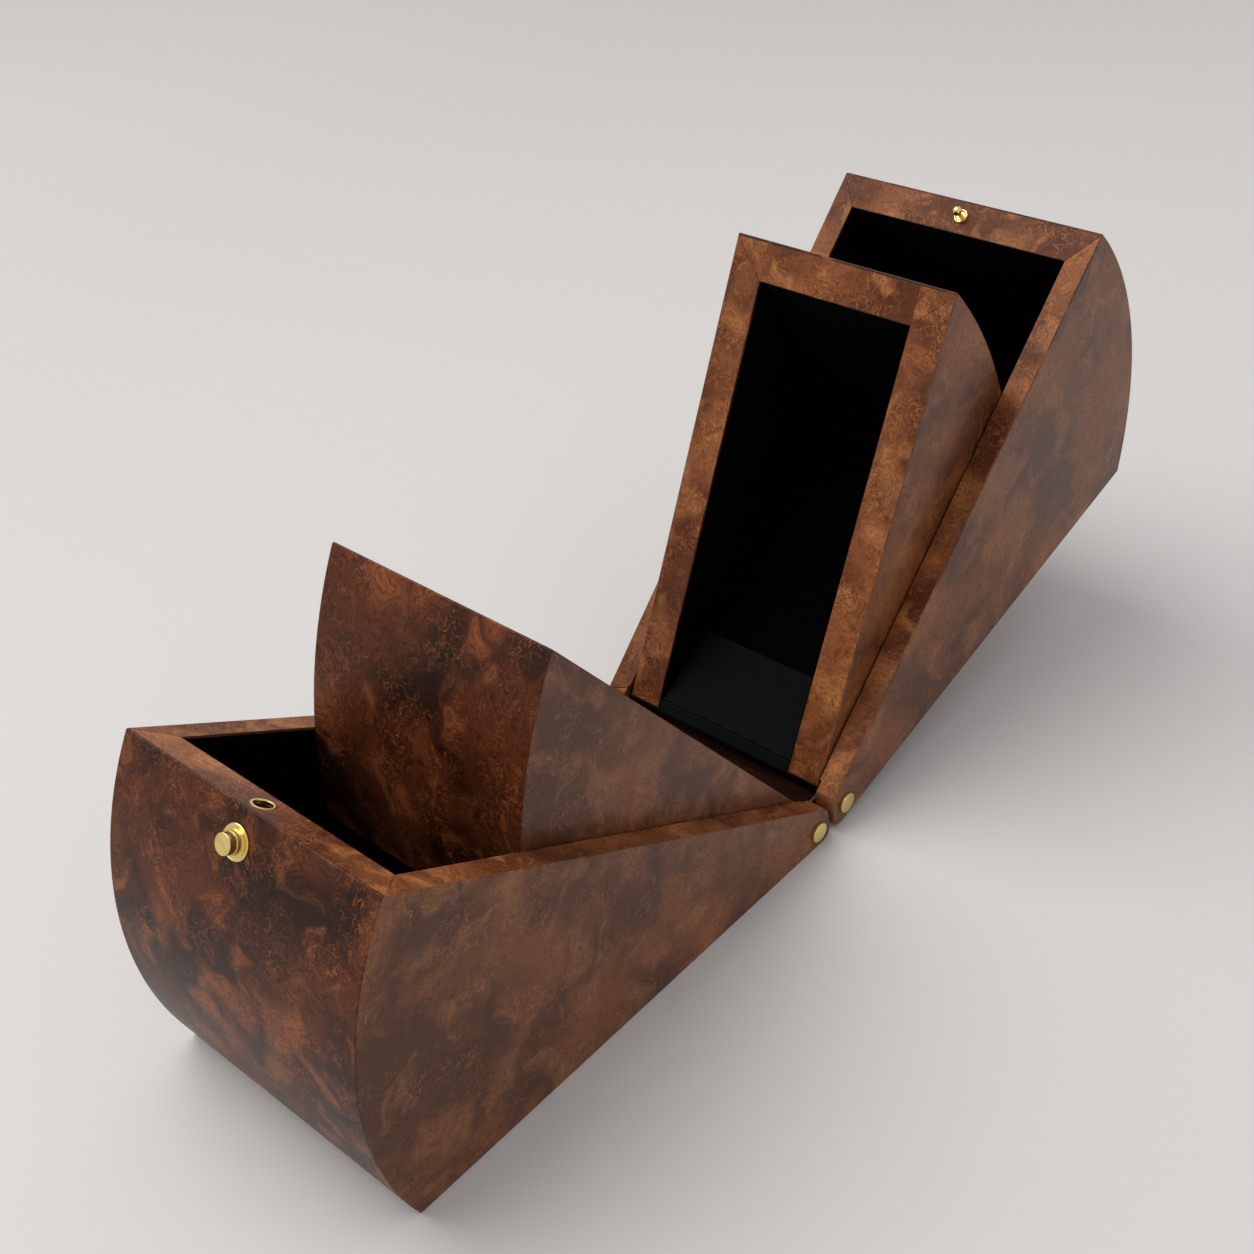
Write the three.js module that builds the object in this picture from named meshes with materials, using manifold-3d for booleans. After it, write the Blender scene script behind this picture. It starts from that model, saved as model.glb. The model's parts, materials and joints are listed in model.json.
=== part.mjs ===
import * as THREE from 'three';
import Module from 'manifold-3d';

// A folding wooden wine box, in millimetres, with Z up and its back on the floor.
// Two wedge shells open like a book about two links, and a smaller wedge box swings out of each.
// Each wedge is drawn in its own frame: X runs along the rim from the hinge end, Z stands off the
// rim, and Y runs across the width. Near means the side at low Y, far the side at high Y.

const wasm = await Module();
wasm.setup();

const radians = (degrees) => THREE.MathUtils.degToRad(degrees);
const quarterTurn = radians(90);
const halfTurn = radians(180);
const fullTurn = radians(360);

// Outer shells
const caseWidth = 220;
const rimLength = 446.9;
const wedgeAngle = radians(29.7);
const endFaceLength = 28.3;
const endLean = radians(11.7);
const frontRadius = 257;
const frontCentreDrop = 18.15;
const endRimRounding = 6;
const endBackRounding = 8.6;
const sideWall = 17.9;
const frontWall = 23.7;
const backWall = 9;
const endWall = 6.5;
const endBlockLength = 50;
const endOpeningDepth = 16;

// Inner boxes
const innerSetback = 85.9;
const innerFrontRadius = 353.7;
const innerFrontCentreRise = 126.7;
const innerRimRounding = 2.2;
const innerBackRounding = 3.2;
const innerSideWall = 27.2;
const innerFrontWall = 24.8;
const innerBackWall = 8.5;
const innerEndWall = 5.4;
const innerEndBlockLength = 75.5;
const sideGap = 1.45;
const backGap = 1.2;

// Fits shared by all pieces
const arris = 1.1;
const easedShare = 0.293;
const seam = 0.3;
const mitreSeam = 0.4;
const seat = 0.2;
const overrun = 4;
const half = 0.5;
const weldDistance = 0.0001;

// Velvet linings
const liningThickness = 1.5;
const liningDrop = 1.5;
const sideFlock = 0.5;
const sideFlockStart = 96;

// Hinge links, leaves and pivot pins
const pivotAlong = 4.8;
const pivotDepth = 16.9;
const innerPivotAlong = -4.7;
const innerPivotDepth = 10.8;
const rimsApart = 0.6;
const openHalfAngle = radians(52.3);
const innerLift = radians(20.8);
const pinRadius = 2.5;
const pinBoreRadius = 2.6;
const pinHeadRadius = 7.8;
const pinHeadHeight = 2.6;
const plateThickness = 1.5;
const plateSpace = 0.3;
const linkHalfWidth = 7;
const leafHalfWidth = 5;
const leafLength = 44;
const leafAngle = radians(-16);
const studFirst = 20;
const studsApart = 14;
const studRadius = 1.8;
const studLength = 8;
const clipRadius = 4.2;
const clipThickness = 0.9;
const pinEnd = 0.4;
const clipPocketRadius = 5.6;

// Catch on the right rim and ferrule on the left rim
const catchSetback = 12.3;
const ballRadius = 3.5;
const ballHeight = 9.2;
const neckRadius = 1.7;
const catchShank = 12;
const collarRadius = 5.2;
const collarHeight = 1.7;
const ferruleRadius = 7.5;
const ferruleBore = 5.6;
const ferruleSleeveRadius = 6.4;
const ferruleFlange = 1;
const ferruleProud = 0.2;
const ferruleDepth = 2.4;

// Push button
const buttonDepth = 21.1;
const flangeRadius = 10.8;
const flangeHeight = 1.7;
const buttonCollarRadius = 8.4;
const buttonCollarHeight = 4.9;
const buttonRadius = 6.5;
const buttonHeight = 9.7;
const buttonTravel = 2;
const stemRadius = 2.4;
const slidingFit = 0.1;
const edgeRounding = 0.6;

// Latch slide and its housing inside the front wall
const slideTop = 3.2;
const slideThickness = 1.3;
const slideHalfWidth = 6;
const apertureHalfWidth = 4;
const apertureBehind = 2;
const apertureAhead = 5.9;
const slideRim = 2;
const slideFootDepth = 25;
const housingWall = 1.4;
const housingHalfWidth = 8.6;
const housingDepth = 28.5;
const housingTop = 2.9;
const springRadius = 2.3;
const springWire = 0.4;
const springTurns = 6;

// Numbers of facets
const arcSteps = 22;
const cornerSteps = 5;
const roundSteps = 24;
const plateSteps = 12;
const ballSteps = 10;
const coilSteps = 12;
const wireSteps = 6;

const halfWidth = caseWidth * half;
const innerHalfWidth = halfWidth - sideWall - sideGap;

const walnut = { color: 0x6b3a22, roughness: 0.35, metalness: 0 };
const velvet = { color: 0x0b0b0d, roughness: 1, metalness: 0 };
const brass = { color: 0xc9a24a, roughness: 0.25, metalness: 1 };
const steel = { color: 0x9a9c9e, roughness: 0.4, metalness: 1 };

const group = new THREE.Group();

function along(angle) {
  return new THREE.Vector2(Math.cos(angle), Math.sin(angle));
}

// Where two lines cross. A line is a point and a direction.
function meet(first, second) {
  const apart = second.point.clone().sub(first.point);
  const share = apart.cross(second.direction) / first.direction.cross(second.direction);
  return first.point.clone().addScaledVector(first.direction, share);
}

// Where a line leaves a circle on the side the line points to.
function meetCircle(line, centre, radius) {
  const toCentre = centre.clone().sub(line.point);
  const reach = toCentre.dot(line.direction);
  const away = toCentre.cross(line.direction);
  return line.point.clone().addScaledVector(line.direction, reach + Math.sqrt(radius ** 2 - away ** 2));
}

// Points round a corner of the given radius, from the side of one neighbour to that of the other.
function roundCorner(before, corner, after, radius) {
  const first = before.clone().sub(corner).normalize();
  const second = after.clone().sub(corner).normalize();
  const opening = Math.acos(first.dot(second)) * half;
  const middle = first.clone().add(second).normalize();
  const centre = corner.clone().addScaledVector(middle, radius / Math.sin(opening));
  const start = corner.clone().addScaledVector(first, radius / Math.tan(opening)).sub(centre).angle();
  const end = corner.clone().addScaledVector(second, radius / Math.tan(opening)).sub(centre).angle();
  const turn = THREE.MathUtils.euclideanModulo(end - start + halfTurn, fullTurn) - halfTurn;
  return Array.from({ length: cornerSteps + 1 }, (_, step) =>
    centre.clone().addScaledVector(along(start + (turn * step) / cornerSteps), radius));
}

// A wedge's outline set in from its faces: the rounded hinge end, the seam in the back, then the
// curved front from the back up to the rim.
function outline(form, insets) {
  const rimLine = { point: new THREE.Vector2(0, -insets.rim), direction: along(0) };
  const endLine = {
    point: along(form.endAngle + quarterTurn).multiplyScalar(insets.end),
    direction: along(form.endAngle),
  };
  const backLine = {
    point: form.backStart.clone().addScaledVector(along(form.backAngle + quarterTurn), insets.back),
    direction: along(form.backAngle),
  };
  const radius = form.frontRadius - insets.front;
  const rimStart = meet(rimLine, endLine);
  const backStart = meet(endLine, backLine);
  const rimEnd = meetCircle(rimLine, form.frontCentre, radius);
  const backEnd = meetCircle(backLine, form.frontCentre, radius);
  const low = backEnd.clone().sub(form.frontCentre).angle();
  const high = rimEnd.clone().sub(form.frontCentre).angle();
  const turn = THREE.MathUtils.euclideanModulo(high - low, fullTurn);
  const front = Array.from({ length: arcSteps + 1 }, (_, step) =>
    form.frontCentre.clone().addScaledVector(along(low + (turn * step) / arcSteps), radius));
  return {
    rimCorner: roundCorner(rimEnd, rimStart, backStart, form.rimRounding * insets.sharpness),
    backCorner: roundCorner(rimStart, backStart, backEnd, form.backRounding * insets.sharpness),
    backSeam: backLine.point.clone().addScaledVector(backLine.direction, form.endBlockLength),
    backLine,
    front,
  };
}

// The same insets on every face, and their mix with the insets of the walls' inner faces.
function evenInsets(inset) {
  return { rim: inset, end: inset, back: inset, front: inset, sharpness: 1 };
}

function mixInsets(first, second, share) {
  const mixed = {};
  for (const name of Object.keys(first)) {
    mixed[name] = THREE.MathUtils.lerp(first[name], second[name], share);
  }
  return mixed;
}

function innerInsets(form, extra = 0) {
  return {
    rim: 0,
    end: form.endWall + extra,
    back: form.backWall + extra,
    front: form.frontWall + extra,
    sharpness: half,
  };
}

// Closed solids from plain triangles, with vertices shared and faces turned outward.
function solid(geometry) {
  const source = geometry.index ? geometry.toNonIndexed() : geometry;
  const position = source.getAttribute('position');
  const found = new Map();
  const vertices = [];
  const triangles = [];
  for (let start = 0; start < position.count; start += 3) {
    const corners = [0, 1, 2].map((step) => {
      const point = [position.getX(start + step), position.getY(start + step), position.getZ(start + step)];
      const key = point.map((value) => Math.round(value / weldDistance)).join();
      if (!found.has(key)) {
        found.set(key, vertices.length);
        vertices.push(point);
      }
      return found.get(key);
    });
    if (new Set(corners).size === 3) {
      triangles.push(corners);
    }
  }
  const volume = triangles.reduce((sum, corners) => {
    const [first, second, third] = corners.map((corner) => new THREE.Vector3(...vertices[corner]));
    return sum + first.dot(second.cross(third));
  }, 0);
  const turned = volume < 0 ? triangles.map(([first, second, third]) => [first, third, second]) : triangles;
  return new wasm.Manifold(new wasm.Mesh({
    numProp: 3,
    vertProperties: new Float32Array(vertices.flat()),
    triVerts: new Uint32Array(turned.flat()),
  }));
}

// A solid through rings of as many points each, closed at both ends.
function loft(rings) {
  const positions = [];
  const face = (...points) => points.forEach((point) => positions.push(point.x, point.y, point.z));
  const count = rings[0].length;
  for (let ring = 1; ring < rings.length; ring += 1) {
    for (let step = 0; step < count; step += 1) {
      const next = (step + 1) % count;
      face(rings[ring - 1][step], rings[ring - 1][next], rings[ring][next]);
      face(rings[ring - 1][step], rings[ring][next], rings[ring][step]);
    }
  }
  const cap = (ring, flip) => {
    const middle = ring.reduce((sum, point) => sum.add(point), new THREE.Vector3()).divideScalar(count);
    ring.forEach((point, step) => {
      const next = ring[(step + 1) % count];
      face(middle, flip ? next : point, flip ? point : next);
    });
  };
  cap(rings[0], true);
  cap(rings[rings.length - 1], false);
  const geometry = new THREE.BufferGeometry();
  geometry.setAttribute('position', new THREE.Float32BufferAttribute(positions, 3));
  return solid(geometry);
}

const stand = (point, y) => new THREE.Vector3(point.x, y, point.y);

// A straight piece across the width with the given outline, from one Y to another.
function prism(points, lowY, highY) {
  const shape = new THREE.Shape(points);
  const geometry = new THREE.ExtrudeGeometry(shape, { depth: highY - lowY, bevelEnabled: false });
  return solid(geometry.rotateX(quarterTurn).translate(0, highY, 0));
}

// A turned piece: radii and heights of its profile, standing along +Z.
function turned(profile) {
  const points = profile.map(([radius, height]) => new THREE.Vector2(radius, height));
  return solid(new THREE.LatheGeometry(points, roundSteps).rotateX(quarterTurn));
}

function rod(radius, low, high) {
  return turned([[0, low], [radius, low], [radius, high], [0, high]]);
}

function block(low, high) {
  const size = high.clone().sub(low);
  const middle = high.clone().add(low).multiplyScalar(half);
  return solid(new THREE.BoxGeometry(size.x, size.y, size.z).translate(middle.x, middle.y, middle.z));
}

function move(body, matrix) {
  return body.transform(matrix.elements);
}

// Turns a piece that stands along +Z to point along the direction at the given place.
function aim(place, direction) {
  const turn = new THREE.Quaternion().setFromUnitVectors(new THREE.Vector3(0, 0, 1), direction);
  return new THREE.Matrix4().compose(place, turn, new THREE.Vector3(1, 1, 1));
}

const mirrorSides = new THREE.Matrix4().makeScale(1, -1, 1);

function addPart(name, body, matrix, finish) {
  const mesh = move(body, matrix).getMesh();
  const geometry = new THREE.BufferGeometry();
  geometry.setAttribute('position', new THREE.Float32BufferAttribute(mesh.vertProperties, mesh.numProp));
  geometry.setIndex(new THREE.BufferAttribute(mesh.triVerts, 1));
  const part = new THREE.Mesh(geometry, new THREE.MeshStandardMaterial(finish));
  part.name = name;
  group.add(part);
}

// The two forms of wedge

const endAngle = -(quarterTurn + wedgeAngle + endLean);
const shellBackStart = along(endAngle).multiplyScalar(endFaceLength);

// The centre of a curved front that ends the rim at the given length.
function frontCentre(length, radius, rise) {
  return new THREE.Vector2(length - Math.sqrt(radius ** 2 - rise ** 2), rise);
}

const shellForm = {
  endAngle,
  backAngle: -wedgeAngle,
  backStart: shellBackStart,
  frontCentre: frontCentre(rimLength, frontRadius, -frontCentreDrop),
  frontRadius,
  rimRounding: endRimRounding,
  backRounding: endBackRounding,
  halfWidth,
  sideWall,
  frontWall,
  backWall,
  endWall,
  endBlockLength,
};

const pivot = new THREE.Vector3(pivotAlong, 0, -pivotDepth);
const innerPivot = new THREE.Vector3(innerPivotAlong, 0, -innerPivotDepth);
const nested = pivot.clone().sub(innerPivot);
const innerBackInset = backWall + seam + liningThickness + backGap;
const innerBackStart = shellBackStart.clone()
  .addScaledVector(along(quarterTurn - wedgeAngle), innerBackInset)
  .sub(new THREE.Vector2(nested.x, nested.z));

const innerForm = {
  endAngle,
  backAngle: -wedgeAngle,
  backStart: meet({ point: innerBackStart, direction: along(-wedgeAngle) },
    { point: new THREE.Vector2(), direction: along(endAngle) }),
  frontCentre: frontCentre(rimLength - innerSetback, innerFrontRadius, innerFrontCentreRise),
  frontRadius: innerFrontRadius,
  rimRounding: innerRimRounding,
  backRounding: innerBackRounding,
  halfWidth: innerHalfWidth,
  sideWall: innerSideWall,
  frontWall: innerFrontWall,
  backWall: innerBackWall,
  endWall: innerEndWall,
  endBlockLength: innerEndBlockLength,
};

// A side panel, mitred to its neighbours along the back, front and hinge end.
function sidePanel(form) {
  const ring = (depth, insets) => {
    const shape = outline(form, insets);
    return [...shape.rimCorner, ...shape.backCorner, ...shape.front]
      .map((point) => stand(point, depth - form.halfWidth));
  };
  const eased = evenInsets(arris * easedShare);
  const inner = innerInsets(form);
  const share = (arris * (1 - easedShare)) / (form.sideWall - arris * easedShare);
  const level = { ...mixInsets(eased, inner, share), rim: 0 };
  return loft([
    ring(0, evenInsets(arris)),
    ring(arris * easedShare, eased),
    ring(arris, level),
    ring(form.sideWall, inner),
  ]);
}

// A panel that spans the sides, with mitred ends. The stations give its outline at any inset, and
// the corners of the last one can be set back to clear the eased edge of the side.
function crossPanel(form, stations, setback = 0) {
  const outer = stations(evenInsets(0));
  const eased = stations({ ...evenInsets(arris * easedShare), rim: 0 });
  const inner = stations(innerInsets(form));
  const outerY = form.halfWidth - arris;
  const easedY = form.halfWidth - arris * easedShare - mitreSeam;
  const innerY = form.halfWidth - form.sideWall - mitreSeam;
  return loft(outer.map((_, step) => {
    const back = step === outer.length - 1 ? setback : 0;
    return [
      stand(outer[step], back - outerY),
      stand(outer[step], outerY - back),
      stand(eased[step], easedY - back),
      stand(inner[step], innerY),
      stand(inner[step], -innerY),
      stand(eased[step], back - easedY),
    ];
  }));
}

// The curved front, with its top edge eased.
function frontPanel(form) {
  return crossPanel(form, (insets) => {
    const edge = (inset, rim) =>
      outline(form, { ...insets, front: Math.max(insets.front, inset), rim }).front;
    return [
      ...edge(0, arris),
      edge(arris * easedShare, arris * easedShare).pop(),
      edge(arris, 0).pop(),
    ];
  }, arris);
}

function backPanel(form) {
  return crossPanel(form, (insets) => {
    const shape = outline(form, insets);
    return [shape.front[0].clone().addScaledVector(shape.backLine.direction, -mitreSeam), shape.backSeam];
  });
}

function endBlock(form) {
  return crossPanel(form, (insets) => {
    const shape = outline(form, insets);
    const start = shape.backSeam.clone().addScaledVector(shape.backLine.direction, -seam);
    return [start, ...shape.backCorner.reverse(), ...shape.rimCorner.reverse()];
  });
}

// A lining board on the inside of the curved front, and one on the back.
function frontLining(form, clearance) {
  const place = (extra) => outline(form, { ...innerInsets(form, extra), rim: liningDrop }).front;
  const low = place(seam);
  const high = place(seam + liningThickness);
  const reach = form.halfWidth - form.sideWall - clearance;
  return prism([...low, ...high.reverse()], -reach, reach);
}

function backLining(form, start, clearance) {
  const place = (extra) => outline(form, innerInsets(form, extra));
  const low = place(seam);
  const high = place(seam + liningThickness);
  const reach = form.halfWidth - form.sideWall - clearance;
  const stop = -(liningThickness + seam + seam) / Math.cos(wedgeAngle);
  return prism([
    low.backSeam.clone().addScaledVector(low.backLine.direction, start),
    low.front[0].clone().addScaledVector(low.backLine.direction, stop),
    high.front[0].clone().addScaledVector(low.backLine.direction, stop),
    high.backSeam.clone().addScaledVector(low.backLine.direction, start),
  ], -reach, reach);
}

// Where the pieces of each shell and inner box stand in the finished part

const linkLength = pivotDepth + pivotDepth + rimsApart;
const linkAngle = quarterTurn - wedgeAngle - openHalfAngle;
const leftRimAngle = halfTurn - wedgeAngle;
const rightRimAngle = leftRimAngle - openHalfAngle - openHalfAngle;

function frameOf(rimAngle, side) {
  const rim = along(rimAngle);
  const up = along(rimAngle + side * quarterTurn);
  return new THREE.Matrix4().makeBasis(
    new THREE.Vector3(rim.x, 0, rim.y), new THREE.Vector3(0, 1, 0), new THREE.Vector3(up.x, 0, up.y));
}

const shift = (vector) => new THREE.Matrix4().makeTranslation(vector.x, vector.y, vector.z);
const backRise = shellBackStart.clone().sub(new THREE.Vector2(pivot.x, pivot.z))
  .dot(along(quarterTurn - wedgeAngle));
const leftPivot = new THREE.Vector3(0, 0, -backRise);
const rightPivot = leftPivot.clone().add(stand(along(linkAngle).multiplyScalar(linkLength), 0));

function shellFrame(place, rimAngle, side) {
  return shift(place).multiply(frameOf(rimAngle, side)).multiply(shift(pivot.clone().negate()));
}

const leftFrame = shellFrame(leftPivot, leftRimAngle, -1);
const rightFrame = shellFrame(rightPivot, rightRimAngle, 1);
const lifted = shift(pivot)
  .multiply(new THREE.Matrix4().makeRotationY(-innerLift))
  .multiply(shift(innerPivot.clone().negate()));
const leftInnerFrame = leftFrame.clone().multiply(lifted);
const rightInnerFrame = rightFrame.clone().multiply(lifted);

// Hinge cutters: a pin's bore, and the shallow sector that a link swings in

const linkFaceY = sideWall - plateThickness + plateSpace;
const leafFaceY = linkFaceY + plateThickness + plateSpace;
const clipFaceY = leafFaceY + plateThickness + plateSpace;
const pinEndY = clipFaceY + clipThickness + pinEnd;
const linkSlotBottom = linkFaceY - plateSpace;
const linkSlotTop = linkFaceY + plateThickness + plateSpace;

function depthRod(radius, lowDepth, highDepth, place) {
  const spot = new THREE.Vector3(place.x, lowDepth - halfWidth, place.z);
  return move(rod(radius, 0, highDepth - lowDepth), aim(spot, new THREE.Vector3(0, 1, 0)));
}

function arcPoints(centre, radius, start, end) {
  return Array.from({ length: plateSteps + 1 }, (_, step) =>
    centre.clone().addScaledVector(along(THREE.MathUtils.lerp(start, end, step / plateSteps)), radius));
}

const pivotSpot = new THREE.Vector2(pivot.x, pivot.z);
const linkReach = linkLength + linkHalfWidth + overrun;

function linkSlot() {
  const open = quarterTurn + openHalfAngle;
  const wide = linkHalfWidth + plateSpace;
  const behind = arcPoints(pivotSpot, wide, open + quarterTurn, fullTurn);
  const closedCorner = pivotSpot.clone().add(new THREE.Vector2(wide, linkReach));
  const openCorner = pivotSpot.clone()
    .addScaledVector(along(open + quarterTurn), wide)
    .addScaledVector(along(open), linkReach);
  const middleCorner = pivotSpot.clone().addScaledVector(along((quarterTurn + open) * half), linkReach);
  return prism([...behind, closedCorner, middleCorner, openCorner],
    linkSlotBottom - halfWidth, linkSlotTop - halfWidth);
}

const both = (body) => body.add(move(body, mirrorSides));

// The shells

// Between the sides the hinge end is open, down to a rail that ties them along the back.
function endOpening() {
  const reach = halfWidth - sideWall;
  const corner = (x, z) => new THREE.Vector2(x, z);
  return prism([
    corner(shellBackStart.x - overrun, -endOpeningDepth),
    corner(endBlockLength, -endOpeningDepth),
    corner(endBlockLength, overrun),
    corner(shellBackStart.x - overrun, overrun),
  ], -reach, reach);
}

const nearSlot = linkSlot();
const slots = both(nearSlot);
const shellSide = sidePanel(shellForm)
  .subtract(nearSlot)
  .subtract(depthRod(pinBoreRadius, -overrun, sideWall + overrun, pivot));
const shellEnd = endBlock(shellForm).subtract(slots).subtract(endOpening());
const shellBack = backPanel(shellForm);
const shellFront = frontPanel(shellForm);
const catchShankRod = rod(neckRadius + slidingFit, -catchShank - seam, overrun);
const catchAlong = rimLength - catchSetback;
const catchPlace = aim(new THREE.Vector3(catchAlong, 0, 0), new THREE.Vector3(0, 0, 1));

function shellSideLining() {
  const shape = outline(shellForm, { ...innerInsets(shellForm, seam), rim: liningDrop });
  const backStart = shape.backLine.point.clone().addScaledVector(shape.backLine.direction, sideFlockStart);
  const rimStart = new THREE.Vector2(backStart.x, -liningDrop);
  const low = sideWall + plateSpace - halfWidth;
  return prism([rimStart, backStart, ...shape.front], low, low + sideFlock);
}

const flockSpace = plateSpace + sideFlock + plateSpace;
const shellLiningStart = sideFlockStart - endBlockLength;
const shellLinings = {
  near: shellSideLining(),
  front: frontLining(shellForm, flockSpace),
  back: backLining(shellForm, shellLiningStart, flockSpace),
};

function pivotPin() {
  const head = pinHeadHeight + seat;
  const profile = [
    [0, -head],
    [pinHeadRadius - edgeRounding, -head],
    [pinHeadRadius - edgeRounding * easedShare, -head + edgeRounding * easedShare],
    [pinHeadRadius, -head + edgeRounding],
    [pinHeadRadius, -seat],
    [pinRadius, -seat],
    [pinRadius, pinEndY],
    [0, pinEndY],
  ];
  const spot = new THREE.Vector3(pivot.x, -halfWidth, pivot.z);
  return move(turned(profile), aim(spot, new THREE.Vector3(0, 1, 0)));
}

function pivotClip() {
  const low = clipFaceY;
  const ring = depthRod(clipRadius, low, low + clipThickness, pivot);
  return ring.subtract(depthRod(pinRadius + slidingFit, low - overrun, low + overrun, pivot));
}

// The push button and its axis, square to the curved front

const buttonLean = Math.asin((frontCentreDrop - buttonDepth) / frontRadius);
const buttonDirection = along(buttonLean);
const buttonSpot = shellForm.frontCentre.clone().addScaledVector(buttonDirection, frontRadius);
const buttonPlace = aim(stand(buttonSpot, 0), stand(buttonDirection, 0));
const knobFoot = flangeHeight + seam + buttonTravel;
const slideLow = catchAlong - apertureBehind - slideRim - slideRim;
const slideFootFace = catchAlong + apertureAhead + slideRim;
const housingLow = slideLow - buttonTravel - seam - housingWall;
const housingHigh = slideFootFace + seam + housingWall;
const stemEnd = slideFootFace + seam - buttonSpot.x;

function escutcheon() {
  const bore = buttonRadius + slidingFit;
  const stemBore = stemRadius + slidingFit;
  const top = buttonCollarHeight;
  return move(turned([
    [stemBore, seat],
    [flangeRadius, seat],
    [flangeRadius, flangeHeight - edgeRounding],
    [flangeRadius - edgeRounding, flangeHeight],
    [buttonCollarRadius, flangeHeight],
    [buttonCollarRadius, top - edgeRounding],
    [buttonCollarRadius - edgeRounding, top],
    [bore, top],
    [bore, flangeHeight],
    [stemBore, flangeHeight],
    [stemBore, seat],
  ]), buttonPlace);
}

function pushButton() {
  return move(turned([
    [0, stemEnd],
    [stemRadius, stemEnd],
    [stemRadius, knobFoot],
    [buttonRadius, knobFoot],
    [buttonRadius, buttonHeight - edgeRounding],
    [buttonRadius - edgeRounding, buttonHeight],
    [0, buttonHeight],
  ]), buttonPlace);
}

const stemBoreCut = move(rod(stemRadius + seam, -frontWall * half, overrun), buttonPlace);

// The latch slide: a plate with an opening for the catch, and a foot that the button pushes

function latchSlide() {
  const plate = block(
    new THREE.Vector3(slideLow, -slideHalfWidth, -slideTop - slideThickness),
    new THREE.Vector3(slideFootFace, slideHalfWidth, -slideTop));
  const foot = block(
    new THREE.Vector3(slideFootFace - slideThickness, -slideHalfWidth, -slideFootDepth),
    new THREE.Vector3(slideFootFace, slideHalfWidth, -slideTop));
  const aperture = block(
    new THREE.Vector3(catchAlong - apertureBehind, -apertureHalfWidth, -slideTop - overrun),
    new THREE.Vector3(catchAlong + apertureAhead, apertureHalfWidth, overrun));
  return plate.add(foot).subtract(aperture);
}

function latchHousing() {
  const shell = block(
    new THREE.Vector3(housingLow, -housingHalfWidth, -housingDepth),
    new THREE.Vector3(housingHigh, housingHalfWidth, -housingTop));
  const cavity = block(
    new THREE.Vector3(housingLow + housingWall, housingWall - housingHalfWidth, housingWall - housingDepth),
    new THREE.Vector3(housingHigh - housingWall, housingHalfWidth - housingWall, overrun));
  return shell.subtract(cavity).subtract(stemBoreCut);
}

function latchSpring() {
  const start = housingLow + housingWall + seam;
  const end = slideFootFace - slideThickness - seam;
  const rise = end - start - springWire - springWire;
  const count = springTurns * coilSteps;
  const height = buttonSpot.y + stemEnd * Math.sin(buttonLean);
  const rings = Array.from({ length: count + 1 }, (_, step) => {
    const turn = (fullTurn * step) / coilSteps;
    const out = new THREE.Vector3(0, Math.cos(turn), Math.sin(turn));
    const middle = new THREE.Vector3(start + springWire + (rise * step) / count, 0, height)
      .addScaledVector(out, springRadius);
    return Array.from({ length: wireSteps }, (__, side) => {
      const around = (fullTurn * side) / wireSteps;
      return middle.clone()
        .addScaledVector(out, springWire * Math.cos(around))
        .add(new THREE.Vector3(springWire * Math.sin(around), 0, 0));
    });
  });
  return loft(rings);
}

const housingPocket = block(
  new THREE.Vector3(housingLow - frontWall, -housingHalfWidth - seam, -housingDepth - seam),
  new THREE.Vector3(housingHigh + seam, housingHalfWidth + seam, seam - housingTop));
const ferruleHole = rod(ferruleSleeveRadius + slidingFit, -housingDepth * half, overrun)
  .add(rod(ferruleRadius + slidingFit, ferruleProud - ferruleFlange - seat, overrun));

function ferrule() {
  return move(turned([
    [ferruleBore, -ferruleDepth],
    [ferruleSleeveRadius, -ferruleDepth],
    [ferruleSleeveRadius, ferruleProud - ferruleFlange],
    [ferruleRadius, ferruleProud - ferruleFlange],
    [ferruleRadius, 0],
    [ferruleRadius - ferruleProud, ferruleProud],
    [ferruleBore, ferruleProud],
    [ferruleBore, -ferruleDepth],
  ]), catchPlace);
}

function catchPin() {
  const low = Math.asin(neckRadius / ballRadius) - quarterTurn;
  const ball = Array.from({ length: ballSteps + 1 }, (_, step) => {
    const angle = THREE.MathUtils.lerp(low, quarterTurn, step / ballSteps);
    return [ballRadius * Math.cos(angle), ballHeight + ballRadius * Math.sin(angle)];
  });
  return move(turned([[0, -catchShank], [neckRadius, -catchShank], ...ball.slice(0, -1),
    [0, ballHeight + ballRadius]]), catchPlace);
}

function catchCollar() {
  const bore = neckRadius + slidingFit;
  return move(turned([
    [bore, seat],
    [collarRadius, seat],
    [collarRadius, collarHeight - edgeRounding],
    [collarRadius - edgeRounding, collarHeight],
    [bore, collarHeight],
    [bore, seat],
  ]), catchPlace);
}

const latchFront = shellFront
  .subtract(housingPocket)
  .subtract(move(ferruleHole, catchPlace))
  .subtract(stemBoreCut);
const catchFront = shellFront.subtract(move(catchShankRod, catchPlace));

// The inner boxes, each hung on two flat leaves let into its sides

const leafStart = new THREE.Vector2(innerPivot.x, innerPivot.z);
const studSpots = [studFirst, studFirst + studsApart].map((distance) =>
  stand(leafStart.clone().addScaledVector(along(leafAngle), distance), 0));

// The two studs of a leaf, or their bores when they are given a clearance.
function studs(clearance) {
  const low = leafFaceY + plateThickness * half;
  const high = leafFaceY + plateThickness + studLength + clearance;
  return studSpots.map((spot) => depthRod(studRadius + clearance, low, high, spot))
    .reduce((sum, stud) => sum.add(stud));
}

const leafEnd = leafStart.clone().addScaledVector(along(leafAngle), leafLength);

function leafShape(clearance) {
  const wide = leafHalfWidth + clearance;
  return [
    ...arcPoints(leafStart, wide, leafAngle + quarterTurn, leafAngle + quarterTurn + halfTurn),
    ...arcPoints(leafEnd, wide, leafAngle - quarterTurn, leafAngle + quarterTurn),
  ];
}

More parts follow.
